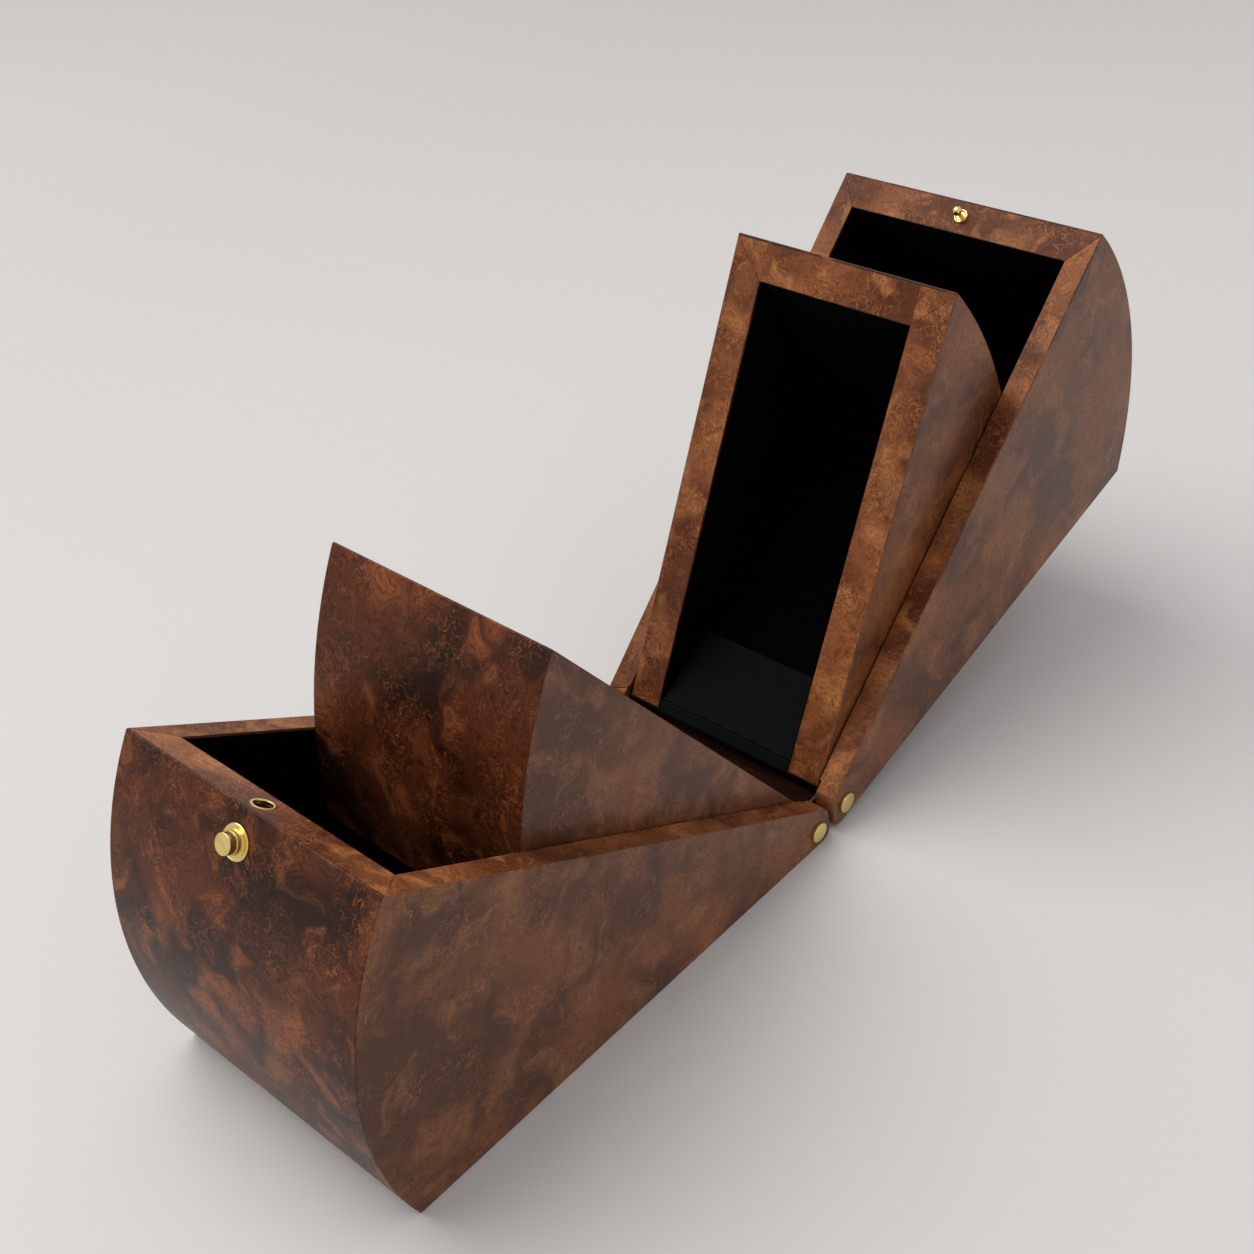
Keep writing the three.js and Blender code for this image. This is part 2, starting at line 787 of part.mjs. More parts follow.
const hingeLeaf = prism(leafShape(0), leafFaceY - halfWidth, leafFaceY + plateThickness - halfWidth)
  .subtract(depthRod(pinBoreRadius, leafFaceY - overrun, leafFaceY + overrun, innerPivot))
  .add(studs(0));
const leafRecess = prism(leafShape(plateSpace), leafFaceY - overrun - halfWidth, clipFaceY - halfWidth);
const clipPocket = depthRod(clipPocketRadius, leafFaceY - overrun, pinEndY + plateSpace, innerPivot);
const nearHingeCut = leafRecess.add(clipPocket).add(studs(seat));
const innerSide = sidePanel(innerForm).subtract(nearHingeCut);

// The slope of the padded floor at the hinge end, from just under the rim to the back panel

const innerShape = outline(innerForm, innerInsets(innerForm));
const boardSpace = seam + liningThickness;
const floorTop = new THREE.Vector2(innerShape.rimCorner[0].x, -liningDrop - boardSpace);
const floorFoot = innerShape.backSeam.clone().addScaledVector(innerShape.backLine.direction, -seam);
const floorDirection = floorFoot.clone().sub(floorTop).normalize();
const floorRise = floorDirection.clone().rotateAround(new THREE.Vector2(), quarterTurn);
const onFloor = (place, distance, rise) =>
  place.clone().addScaledVector(floorDirection, distance).addScaledVector(floorRise, rise);

function innerEndBlock() {
  const buried = outline(innerForm, innerInsets(innerForm, -seam));
  const foot = buried.backSeam.clone().addScaledVector(buried.backLine.direction, -seam);
  const wall = meet({ point: floorTop, direction: along(0) },
    { point: buried.backCorner[0], direction: along(endAngle) });
  const reach = innerForm.halfWidth - innerSideWall - mitreSeam;
  const wedge = prism([floorTop, wall, ...buried.backCorner, foot, floorFoot], -reach, reach);
  return endBlock(innerForm).add(wedge);
}

const innerEnd = innerEndBlock().subtract(both(nearHingeCut));
const boardReach = innerForm.halfWidth - innerSideWall - seam - liningThickness - seam;
const floorPad = prism([
  onFloor(floorTop, seam, seam),
  onFloor(floorFoot, -seam, seam),
  onFloor(floorFoot, -seam, boardSpace),
  onFloor(floorTop, seam, boardSpace),
], -boardReach, boardReach);

function innerSideLining() {
  const shape = outline(innerForm, { ...innerInsets(innerForm, seam), rim: liningDrop });
  const foot = shape.backSeam.clone().addScaledVector(shape.backLine.direction, seam);
  const top = new THREE.Vector2(floorTop.x + boardSpace, -liningDrop);
  const low = innerSideWall + seam - innerForm.halfWidth;
  const shapePoints = [top, onFloor(floorTop, boardSpace, seam), foot, ...shape.front];
  return prism(shapePoints, low, low + liningThickness);
}

const boardClearance = seam + liningThickness + seam;
const innerLinings = {
  near: innerSideLining(),
  front: frontLining(innerForm, boardClearance),
  back: backLining(innerForm, boardSpace, boardClearance),
};

// The two link plates, drawn in the left shell's frame

function linkPlate() {
  const angle = quarterTurn + openHalfAngle;
  const far = pivotSpot.clone().addScaledVector(along(angle), linkLength);
  const shape = prism([
    ...arcPoints(pivotSpot, linkHalfWidth, angle + quarterTurn, angle + quarterTurn + halfTurn),
    ...arcPoints(far, linkHalfWidth, angle - quarterTurn, angle + quarterTurn),
  ], linkFaceY - halfWidth, linkFaceY + plateThickness - halfWidth);
  const bore = (spot) => depthRod(pinBoreRadius, linkFaceY - overrun, linkFaceY + overrun, stand(spot, 0));
  return shape.subtract(bore(pivotSpot)).subtract(bore(far));
}

// Both sides of every box, and every piece in its place

const mirrored = (body) => move(body, mirrorSides);

function addBoth(name, body, matrix, finish) {
  addPart(name.replace('SIDE', 'near'), body, matrix, finish);
  addPart(name.replace('SIDE', 'far'), mirrored(body), matrix, finish);
}

function addShell(name, front, matrix) {
  addBoth(`${name}_shell_SIDE_side`, shellSide, matrix, walnut);
  addPart(`${name}_shell_front`, front, matrix, walnut);
  addPart(`${name}_shell_back`, shellBack, matrix, walnut);
  addPart(`${name}_shell_hinge_end`, shellEnd, matrix, walnut);
  addBoth(`${name}_shell_SIDE_lining`, shellLinings.near, matrix, velvet);
  addPart(`${name}_shell_front_lining`, shellLinings.front, matrix, velvet);
  addPart(`${name}_shell_back_lining`, shellLinings.back, matrix, velvet);
  addBoth(`${name}_SIDE_pivot_pin`, pivotPin(), matrix, brass);
  addBoth(`${name}_SIDE_pivot_clip`, pivotClip(), matrix, steel);
}

function addInner(name, matrix) {
  addBoth(`${name}_inner_SIDE_side`, innerSide, matrix, walnut);
  addPart(`${name}_inner_front`, frontPanel(innerForm), matrix, walnut);
  addPart(`${name}_inner_back`, backPanel(innerForm), matrix, walnut);
  addPart(`${name}_inner_hinge_end`, innerEnd, matrix, walnut);
  addBoth(`${name}_inner_SIDE_lining`, innerLinings.near, matrix, velvet);
  addPart(`${name}_inner_front_lining`, innerLinings.front, matrix, velvet);
  addPart(`${name}_inner_back_lining`, innerLinings.back, matrix, velvet);
  addPart(`${name}_inner_floor_pad`, floorPad, matrix, velvet);
  addBoth(`${name}_SIDE_hinge_leaf`, hingeLeaf, matrix, steel);
}

addShell('left', latchFront, leftFrame);
addPart('latch_ferrule', ferrule(), leftFrame, brass);
addPart('button_escutcheon', escutcheon(), leftFrame, brass);
addPart('push_button', pushButton(), leftFrame, brass);
addPart('latch_slide', latchSlide(), leftFrame, steel);
addPart('latch_housing', latchHousing(), leftFrame, steel);
addPart('latch_spring', latchSpring(), leftFrame, steel);
addShell('right', catchFront, rightFrame);
addPart('catch_pin', catchPin(), rightFrame, brass);
addPart('catch_collar', catchCollar(), rightFrame, brass);
addBoth('SIDE_link_plate', linkPlate(), leftFrame, steel);
addInner('left', leftInnerFrame);
addInner('right', rightInnerFrame);

// The finished part is centred on its own length, over the middle of its width.
const middle = new THREE.Box3().setFromObject(group).getCenter(new THREE.Vector3());
group.children.forEach((part) => part.geometry.translate(-middle.x, 0, 0));

export default group;
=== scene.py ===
import json
from math import acos, asin, cos, pi, radians, sin, sqrt, tan
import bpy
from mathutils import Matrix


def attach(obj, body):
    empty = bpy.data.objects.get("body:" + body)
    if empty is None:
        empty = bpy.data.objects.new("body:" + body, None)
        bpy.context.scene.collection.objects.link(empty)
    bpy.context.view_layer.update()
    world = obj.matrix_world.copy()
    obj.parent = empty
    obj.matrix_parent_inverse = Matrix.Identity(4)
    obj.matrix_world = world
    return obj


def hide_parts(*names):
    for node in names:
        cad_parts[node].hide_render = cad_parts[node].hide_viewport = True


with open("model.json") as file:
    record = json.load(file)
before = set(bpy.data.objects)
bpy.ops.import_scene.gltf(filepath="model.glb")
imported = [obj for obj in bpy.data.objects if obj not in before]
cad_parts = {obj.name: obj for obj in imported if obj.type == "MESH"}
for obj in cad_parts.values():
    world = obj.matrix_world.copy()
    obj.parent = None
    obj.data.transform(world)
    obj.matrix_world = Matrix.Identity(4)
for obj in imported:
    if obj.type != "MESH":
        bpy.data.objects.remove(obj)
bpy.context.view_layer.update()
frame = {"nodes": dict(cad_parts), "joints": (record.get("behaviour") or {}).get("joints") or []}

from types import SimpleNamespace

import bmesh
import bpy
from mathutils import Matrix, Vector

# The view
# The open box is seen from its left front, from a little under forty degrees above the table, with
# the lens's axis below the middle of the frame and the frame tipped by a few degrees. Colours are
# shown as they are written.

photo_pixels = 1254
focal_pixels = 1601.7
axis_row = 727
looked_at = Vector((-0.07743, 0, 0.10829))
distance = 1.1156
azimuth = radians(46.29)
elevation = radians(39.25)
tip = radians(-4.07)

forward = Vector((sin(azimuth) * cos(elevation), cos(azimuth) * cos(elevation), -sin(elevation)))
level_right = forward.cross(Vector((0, 0, 1))).normalized()
level_up = level_right.cross(forward)
right = level_right * cos(tip) + level_up * sin(tip)
up = level_up * cos(tip) - level_right * sin(tip)

lens = bpy.data.cameras.new("view")
lens.lens = focal_pixels * lens.sensor_width / photo_pixels
lens.shift_y = (axis_row - photo_pixels / 2) / photo_pixels
lens.clip_start = 0.01
camera = bpy.data.objects.new("view", lens)
turn = Matrix((right, up, -forward)).transposed().to_4x4()
camera.matrix_world = Matrix.Translation(looked_at - forward * distance) @ turn
bpy.context.scene.collection.objects.link(camera)
bpy.context.scene.camera = camera
bpy.context.scene.view_settings.view_transform = "Standard"

# The table and the light
# A wide sheet of pale, faintly glossy paper under one soft box overhead, in a pale room that fills
# the shadows. The paper is a little darker at its far side, as it is in the photograph; this is
# painted shade, standing for the light falling off away from the lamp.


def colour(code):
    """A colour written as an sRGB hex code, turned to the linear values that a shader takes."""
    shares = [int(code[place:place + 2], 16) / 255 for place in (0, 2, 4)]
    return (*[s / 12.92 if s <= 0.04045 else ((s + 0.055) / 1.055) ** 2.4 for s in shares], 1)


def add(tree, kind, links=None, **settings):
    """Adds a node, with its settings and what goes into its sockets: values or other sockets."""
    node = tree.nodes.new(kind)
    for name, value in settings.items():
        setattr(node, name, value)
    for socket, value in (links or {}).items():
        if isinstance(value, bpy.types.NodeSocket):
            tree.links.new(value, node.inputs[socket])
        else:
            node.inputs[socket].default_value = value
    return node


def new_material(name):
    """A material with its node tree, empty but for its shader."""
    material = bpy.data.materials.new(name)
    material.use_nodes = True
    tree = material.node_tree
    tree.nodes.clear()
    surface = add(tree, "ShaderNodeBsdfPrincipled")
    add(tree, "ShaderNodeOutputMaterial", {"Surface": surface.outputs[0]})
    return material, tree, surface


def maths(tree, operation, *values):
    """The result of a sum done on numbers or other sockets."""
    return add(tree, "ShaderNodeMath", dict(enumerate(values)), operation=operation).outputs[0]


def spread(tree, value, start, end, top=1, bottom=0, smooth=True):
    """A value moved from one range to another, with eased ends or straight."""
    links = {"Value": value, "From Min": start, "From Max": end, "To Min": bottom, "To Max": top}
    return add(tree, "ShaderNodeMapRange", links,
               interpolation_type="SMOOTHSTEP" if smooth else "LINEAR").outputs[0]


def noise(tree, place, size, detail, **more):
    """A noise node of forms of one size."""
    return add(tree, "ShaderNodeTexNoise",
               {"Vector": place, "Scale": 1 / size, "Detail": detail, **more}).outputs


def blend(tree, share, low, high):
    """One colour or hex code over another, by a share."""
    low, high = (colour(ink) if isinstance(ink, str) else ink for ink in (low, high))
    return add(tree, "ShaderNodeMix", {0: share, 6: low, 7: high}, data_type="RGBA").outputs[2]


def bump(tree, surface, height, strength, reach):
    """Small relief on a surface."""
    relief = add(tree, "ShaderNodeBump", {"Height": height, "Strength": strength, "Distance": reach})
    tree.links.new(relief.outputs[0], surface.inputs["Normal"])


def fill(tree, surface, **values):
    """Fills a shader's sockets with numbers or other sockets."""
    for label, value in values.items():
        socket = surface.inputs[label.replace("_", " ")]
        if isinstance(value, bpy.types.NodeSocket):
            tree.links.new(value, socket)
        else:
            socket.default_value = value


def link_object(name, data):
    piece = bpy.data.objects.new(name, data)
    bpy.context.scene.collection.objects.link(piece)
    return piece


paper, tree, surface = new_material("matt coated paper")
place = add(tree, "ShaderNodeTexCoord").outputs["Object"]
depth = add(tree, "ShaderNodeSeparateXYZ", {0: place}).outputs["Y"]
# Painted shade: the paper's colour darkens from its near side to its far side.
painted_shade_starts = -0.6
painted_shade_ends = 1.5
painted_shade = spread(tree, depth, painted_shade_starts, painted_shade_ends)
fill(tree, surface, Base_Color=blend(tree, painted_shade, "e5e3e1", "d2cfcc"), Roughness=0.55,
     Specular_IOR_Level=0.3)

table_reach = 8
mesh = bpy.data.meshes.new("table")
mesh.from_pydata([(x * table_reach, y * table_reach, 0)
                  for x, y in ((-1, -1), (1, -1), (1, 1), (-1, 1))], [], [(0, 1, 2, 3)])
mesh.materials.append(paper)
table = link_object("table", mesh)

room = bpy.data.worlds.new("pale room")
room.use_nodes = True
tree = room.node_tree
tree.nodes.clear()
height = add(tree, "ShaderNodeTexCoord").outputs["Generated"]
height = add(tree, "ShaderNodeSeparateXYZ", {0: height}).outputs["Z"]
rise = spread(tree, height, 0, 0.8, 0.6, 0.54, smooth=False)
glow = add(tree, "ShaderNodeBackground", {"Color": colour("f3f3f5"), "Strength": rise})
backdrop = add(tree, "ShaderNodeBackground", {"Color": colour("dcd9d6"), "Strength": 1})
ray = add(tree, "ShaderNodeLightPath").outputs
seen = maths(tree, "MAXIMUM", ray["Is Camera Ray"], ray["Is Glossy Ray"])
seen = maths(tree, "MAXIMUM", seen, ray["Is Transmission Ray"])
either = add(tree, "ShaderNodeMixShader", {0: seen, 1: glow.outputs[0], 2: backdrop.outputs[0]})
add(tree, "ShaderNodeOutputWorld", {"Surface": either.outputs[0]})
bpy.context.scene.world = room

lamp = bpy.data.lights.new("soft box", "AREA")
lamp.shape = "DISK"
lamp.size = 3.8
lamp.energy = 82
lamp.color = (1, 0.985, 0.96)
lamp_place = Vector((-0.75, 1.72, 3.05))
lamp_target = Vector((-0.1, 0, 0.1))
facing = (lamp_place - lamp_target).to_track_quat("Z", "Y")
soft_box = link_object("soft box", lamp)
soft_box.matrix_world = Matrix.Translation(lamp_place) @ facing.to_matrix().to_4x4()

# The two shells
# Each is a wedge of five board panels mitred together, veneered in walnut burl and lacquered: two
# flat sides, a curved front, a back and a rounded hinge end, open between the sides.


def along(angle):
    """A direction in a wedge's own plane."""
    return Vector((cos(angle), sin(angle)))


def meet(point, direction, other_point, other_direction):
    """Where two lines cross."""
    apart = other_point - point
    return point + direction * (apart.cross(other_direction) / direction.cross(other_direction))


def meet_circle(point, direction, centre, radius):
    """Where a line leaves a circle."""
    to_centre = centre - point
    away = to_centre.cross(direction)
    return point + direction * (to_centre.dot(direction) + sqrt(radius ** 2 - away ** 2))


def round_corner(before, corner, after, radius, steps):
    """Points round a corner, from the side of one neighbour to that of the other."""
    first = (before - corner).normalized()
    second = (after - corner).normalized()
    opening = acos(first.dot(second)) / 2
    centre = corner + (first + second).normalized() * (radius / sin(opening))
    start = corner + first * (radius / tan(opening)) - centre
    end = corner + second * (radius / tan(opening)) - centre
    swing = (pi - 2 * opening) * (1 if start.cross(end) > 0 else -1)
    turned_arms = [Matrix.Rotation(swing * step / steps, 2) @ start for step in range(steps + 1)]
    return [centre + arm for arm in turned_arms]


arris = 0.0011
land = 0.0006
glue_line = 0.00006
corner_steps = 12
arris_steps = 6
front_steps = 72
crease = radians(35)


def wedge(form, rim=0, end=0, back=0, front=0, sharpness=1):
    """A wedge's outline, set in from its faces, as a list of stretches from hinge to front."""
    end_direction = along(form.end_angle)
    back_direction = along(form.back_angle)
    end_point = along(form.end_angle + pi / 2) * end
    back_point = form.back_start + along(form.back_angle + pi / 2) * back
    radius = form.front_radius - front
    rim_point = Vector((0, -rim))
    rim_start = meet(rim_point, Vector((1, 0)), end_point, end_direction)
    back_start = meet(end_point, end_direction, back_point, back_direction)
    rim_end = meet_circle(rim_point, Vector((1, 0)), form.front_centre, radius)
    back_end = meet_circle(back_point, back_direction, form.front_centre, radius)
    low_arm = back_end - form.front_centre
    high_arm = rim_end - form.front_centre
    low_tangent = Vector((-low_arm.y, low_arm.x)).normalized()
    high_tangent = Vector((high_arm.y, -high_arm.x)).normalized()
    toe = round_corner(back_start, back_end, back_end + low_tangent, arris, arris_steps)
    brow = round_corner(rim_end + high_tangent, rim_end, rim_start, arris, arris_steps)

    def arc(start, stop, inner_steps):
        sweep = acos(start.normalized().dot(stop.normalized()))
        return [form.front_centre + Matrix.Rotation(sweep * step / front_steps, 2) @ start
                for step in inner_steps]

    return SimpleNamespace(
        rim_corner=round_corner(rim_end, rim_start, back_start, form.rim_rounding * sharpness,
                                corner_steps),
        back_corner=round_corner(rim_start, back_start, back_end, form.back_rounding * sharpness,
                                 corner_steps),
        seam=back_point + back_direction * form.end_block,
        toe=toe,
        curve=arc(toe[-1] - form.front_centre, brow[0] - form.front_centre, range(1, front_steps)),
        brow=brow,
        bare_front=arc(low_arm, high_arm, range(front_steps + 1)),
        back_direction=back_direction,
    )


def inner_faces(form, extra=0):
    """The set-ins of a wedge's inside, where its corners are half as round as outside."""
    return {"end": form.end_wall + extra, "back": form.back_wall + extra,
            "front": form.front_wall + extra, "sharpness": 0.5}


def arris_points():
    """Depth and set-in of points round a quarter of a circle, from the side face inward."""
    turns = [pi / 2 * step / arris_steps for step in range(arris_steps + 1)]
    return [(arris * (1 - cos(t)), arris * (1 - sin(t))) for t in turns]


def even(inset):
    return {"rim": inset, "end": inset, "back": inset, "front": inset}


def mitre(form, depth):
    """The set-ins at a depth on the mitres, which start in the middle of the rounded edge."""
    eased = arris * (1 - sin(pi / 4))
    share = (depth - eased) / (form.side_wall - eased)
    faces = {name: eased + (inset - eased) * share for name, inset in inner_faces(form).items()}
    return {**faces, "sharpness": 1 - share / 2}


def bridge(rings):
    """The points of some rings of as many points each, and the quads between them."""
    count = len(rings[0])
    quads = [(low + step, low + (step + 1) % count, low + count + (step + 1) % count, low + count + step)
             for low in range(0, count * (len(rings) - 1), count) for step in range(count)]
    return [vert for ring in rings for vert in ring], quads


sheet_shift = (1.37, 0.83)
kind_shift = 0.41


def outward_mesh(bm, name):
    """Turns all faces outward, and makes the mesh."""
    bmesh.ops.recalc_face_normals(bm, faces=bm.faces)
    mesh = bpy.data.meshes.new(name)
    bm.to_mesh(mesh)
    bm.free()
    return mesh


def veneered(name, place, verts, faces, veneers):
    """A panel's mesh. Each face has a veneer, 0 broad, 1 rim or 2 end, and a sheet of it that it is
    cut from. The map is in metres, and each sheet lies in another part of the burl."""
    bm = bmesh.new()
    points = [bm.verts.new(place @ Vector(v[:3])) for v in verts]
    flat = bm.loops.layers.uv.new("veneer")
    for corners, (kind, sheet) in zip(faces, veneers):
        face = bm.faces.new([points[c] for c in corners])
        face.material_index = kind
        face.smooth = True
        for loop, corner in zip(face.loops, corners):
            x, y, z, run = verts[corner]
            spot = (y, x) if kind == 1 else (x, z) if run is None else (run, y)
            loop[flat].uv = (spot[0] + sheet_shift[0] * sheet,
                             spot[1] + sheet_shift[1] * sheet + kind_shift * kind)
    mesh = outward_mesh(bm, name)
    mesh.set_sharp_from_angle(angle=crease)
    return link_object(name, mesh)


def side_panel(name, form, place, side, sheet):
    """A flat side with all its edges rounded on the outside, mitred to its neighbours."""

    def ring(depth, insets):
        shape = wedge(form, **insets)
        loop = shape.rim_corner + shape.back_corner + shape.toe + shape.curve + shape.brow
        return [(p.x, side * (form.half_width - depth), p.y, None) for p in loop]

    edge = arris_points()
    middle = arris_steps // 2
    rings = [ring(0, even(arris + land))]
    rings += [ring(depth, even(inset)) for depth, inset in edge[:middle + 1]]
    rings += [ring(depth, {**mitre(form, depth), "rim": inset}) for depth, inset in edge[middle + 1:]]
    rings.append(ring(arris + land, mitre(form, arris + land)))
    rings.append(ring(form.side_wall, inner_faces(form)))
    verts, faces = bridge(rings)
    count = len(rings[0])
    rim_from = count * (len(rings) - 3)
    veneers = [(1 if quad[0] % count == count - 1 and quad[0] >= rim_from else
                2 if form.bare_ends and corner_steps <= quad[0] % count <= corner_steps + 2 else 0,
                sheet) for quad in faces]
    faces += [tuple(range(count)), tuple(range(len(verts) - count, len(verts)))]
    return veneered(name, place, verts, faces, veneers + [(0, sheet)] * 2)


def cross_panel(name, form, place, pick, sheet, rim_sheets):
    """A panel that spans the sides, drawn through the stations that pick takes from an outline.
    Its end at the rim, where it has one, is cut from three sheets: over both sides and between."""
    edge = arris_points()
    middle = arris_steps // 2
    across = [(form.half_width - form.side_wall, {}), (form.half_width - arris - land, {})]
    across += [(form.half_width - depth - form.hairline, even(inset))
               for depth, inset in reversed(edge[middle:])]
    across.append((form.half_width - arris - form.hairline, mitre(form, arris)))
    across.append((form.half_width - form.side_wall, inner_faces(form)))
    lines = [(y, pick(wedge(form, **insets))) for y, insets in across]
    outer = lines[0][1]
    run = [0]
    for before, after in zip(outer, outer[1:]):
        run.append(run[-1] + (after - before).length)
    rings = []
    for step in range(len(outer)):
        half = [(points[step].x, y, points[step].y, run[step]) for y, points in lines]
        rings.append([(x, -y, z, s) for x, y, z, s in reversed(half)] + half)
    verts, faces = bridge(rings)
    count = len(rings[0])
    bare_from = 0 if form.bare_ends else len(verts)
    veneers = [(2 if pick is end_stations and (quad[0] % count == count - 1 or quad[0] >= bare_from)
                else 0, sheet) for quad in faces]
    half = len(across)
    caps = (range(half), (0, half - 1, half, 2 * half - 1), range(half, 2 * half))
    for first, kinds in ((0, [(0, sheet)] * 3), (len(verts) - 2 * half, rim_sheets or [(0, sheet)] * 3)):
        faces += [tuple(first + corner for corner in cap) for cap in caps]
        veneers += kinds
    return veneered(name, place, verts, faces, veneers)


def front_stations(shape):
    """From the middle of the rounded edge at the foot, up the curve and onto the rim."""
    return shape.toe[arris_steps // 2:] + shape.curve + shape.brow + [shape.brow[-1] - Vector((land, 0))]


def back_stations(shape):
    """From the hinge end's block to the rounded edge at the front's foot."""
    return [shape.seam + shape.back_direction * glue_line, *shape.toe[:arris_steps // 2 + 1]]


def end_stations(shape):
    """From the back's seam, round the hinge end and onto the rim."""
    return [shape.seam, *reversed(shape.back_corner), *reversed(shape.rim_corner),
            shape.rim_corner[0] + Vector((land, 0))]


both_sides = (("near", -1), ("far", 1))
wedge_degrees = 29.7
end_lean_degrees = 11.7


def wedge_form(**sizes):
    """A wedge's sizes, and the angles from its rim to its back and its hinge end. Its hairline is
    the gap along the mitres, and bare ends have oiled wood round the hinge end."""
    return SimpleNamespace(back_angle=-radians(wedge_degrees),
                           end_angle=-radians(90 + wedge_degrees + end_lean_degrees), **sizes)


rim_length = 0.4469
front_drop = 0.01815
end_face_length = 0.0283
shell = wedge_form(
    half_width=0.110, side_wall=0.0179, front_wall=0.0237, back_wall=0.009, end_wall=0.0065,
    end_block=0.050, rim_rounding=0.006, back_rounding=0.0086, front_radius=0.257,
    hairline=glue_line, bare_ends=False)
shell.back_start = along(shell.end_angle) * end_face_length
shell.front_centre = Vector((rim_length - sqrt(shell.front_radius ** 2 - front_drop ** 2), -front_drop))

pivots = {joint["child"]: Vector(joint["pos_m"])
          for joint in frame["joints"] if joint["type"] == "hinge"}
left_pivot = pivots["left_inner_box"]
right_pivot = pivots["right_inner_box"]
shell_pivot = Vector((0.0048, 0, -0.0169))
left_rim_angle = radians(150.3)
right_rim_angle = radians(45.7)


def stand(pivot, local_pivot, rim_angle, side):
    """The matrix that puts a wedge's own frame on its pivot: X along its rim, Z off its rim."""
    rim = Vector((cos(rim_angle), 0, sin(rim_angle)))
    off = Vector((-sin(rim_angle), 0, cos(rim_angle))) * side
    turn = Matrix((rim, (0, 1, 0), off)).transposed().to_4x4()
    return Matrix.Translation(pivot) @ turn @ Matrix.Translation(-local_pivot)


places = {
    "left": stand(left_pivot, shell_pivot, left_rim_angle, -1),
    "right": stand(right_pivot, shell_pivot, right_rim_angle, 1),
}

# The burl's sizes: how far apart its forms lie, and how far the grain is pushed about.
drift_size = 0.045
drift_reach = 0.06
cloud_size = 0.06
patch_size = 0.028
growth_turns = 125
eye_spacing = 0.052
eye_turns = 95
twist_size = 0.010
twist_reach = 0.014
curl_size = 0.006
lively_size = 0.03
pore_size = 0.0014


def burl(name, ground, middle, clear, line, figure, curls, shine):
    """Walnut burl veneer, sliced, ironed on and lacquered satin: slow brown clouds, soft clear
    patches with growth lines curling round them, ringed eyes, fine bright curls and pores. The
    lacquer lies over it with a smooth, faint shine. Figure and curls say how strongly they show.
    The pores are really 0.3 mm wide or less, and are drawn as coarse as they need to show."""
    material, tree, surface = new_material(name)
    flat = add(tree, "ShaderNodeUVMap", uv_map="veneer").outputs[0]

    def pushed(size, detail, reach):
        drift = noise(tree, flat, size, detail)["Color"]
        return add(tree, "ShaderNodeVectorMath", {0: drift, 1: (reach,) * 3, 2: flat},
                   operation="MULTIPLY_ADD").outputs[0]

    swirled = pushed(drift_size, 2, drift_reach)
    cloud = noise(tree, swirled, cloud_size, 4)["Fac"]
    tint = blend(tree, spread(tree, cloud, 0.36, 0.64), ground, middle)

    # Clear patches, and the growth lines that curl round them.
    bulge = noise(tree, swirled, patch_size, 1.5, Distortion=0.5)["Fac"]
    patch = spread(tree, bulge, 0.52, 0.76, 0.6 * figure)
    wave = maths(tree, "SINE", maths(tree, "MULTIPLY_ADD", bulge, growth_turns, cloud))
    growth = maths(tree, "MULTIPLY", spread(tree, wave, 0.1, 1, 0.55),
                   spread(tree, bulge, 0.3, 0.58, figure))

    # Some eyes, each with a warm middle and rings round it.
    eyes = add(tree, "ShaderNodeTexVoronoi", {"Vector": swirled, "Scale": 1 / eye_spacing}).outputs
    chosen = add(tree, "ShaderNodeSeparateColor", {0: eyes["Color"]}).outputs[0]
    in_eye = maths(tree, "MULTIPLY", spread(tree, eyes["Distance"], 0.46, 0.16),
                   spread(tree, chosen, 0.35, 0.5, figure, smooth=False))
    warm = maths(tree, "MULTIPLY", in_eye, 0.55)
    ring = maths(tree, "SINE", maths(tree, "MULTIPLY_ADD", eyes["Distance"], eye_turns, wave))
    ring = maths(tree, "MULTIPLY", spread(tree, ring, -0.2, 1, 0.6), in_eye)

    # Fine bright curls with dark beside them, in some places only, and the pores.
    twisted = pushed(twist_size, 1, twist_reach)
    curl = noise(tree, twisted, curl_size, 2, Distortion=0.8)["Fac"]
    ridge = maths(tree, "ABSOLUTE", maths(tree, "SUBTRACT", curl, 0.5))
    lively = spread(tree, noise(tree, flat, lively_size, 2)["Fac"], 0.4, 0.62)
    strand = maths(tree, "MULTIPLY", spread(tree, ridge, 0.03, 0, curls), lively)
    shadow = spread(tree, ridge, 0.09, 0.16, curls * 0.6)
    pores = noise(tree, swirled, pore_size, 2, Roughness=0.7)["Fac"]
    speck = spread(tree, pores, 0.52, 0.72, 0.35)
    for share, ink in ((patch, clear), (growth, line), (warm, clear), (ring, line), (strand, clear),
                       (shadow, line), (speck, line)):
        tint = blend(tree, share, tint, ink)
    fill(tree, surface, Base_Color=tint, IOR=1.45, Specular_IOR_Level=shine,
         Roughness=spread(tree, cloud, 0.3, 0.7, 0.42, 0.36, smooth=False))
    bump(tree, surface, pores, 0.1, 0.0001)
    return material


# The fronts are darkest and liveliest; their dark colours are partly the veneer's own and partly
# painted shade, as the fronts face down and away from the light. The sides are plainer and catch
# more of the light, the rims are cut from the reddest sheets, and the oiled ends are dark and
# nearly without shine.
front_burl_with_painted_shade = burl("lacquered walnut burl, fronts", "2e170d", "5f2f18", "b26639", "150b05", 0.85, 0.5, 0.2)
side_burl = burl("lacquered walnut burl, sides", "542d17", "824c28", "ba7a4a", "2d180d", 0.55, 0.4, 0.46)
end_burl = burl("oiled walnut ends", "281710", "342015", "412717", "180f07", 0.5, 0.2, 0.01)
rim_burl = burl("lacquered walnut burl, rims", "64361f", "985b36", "e3965a", "381e12", 0.7, 0.42, 0.16)


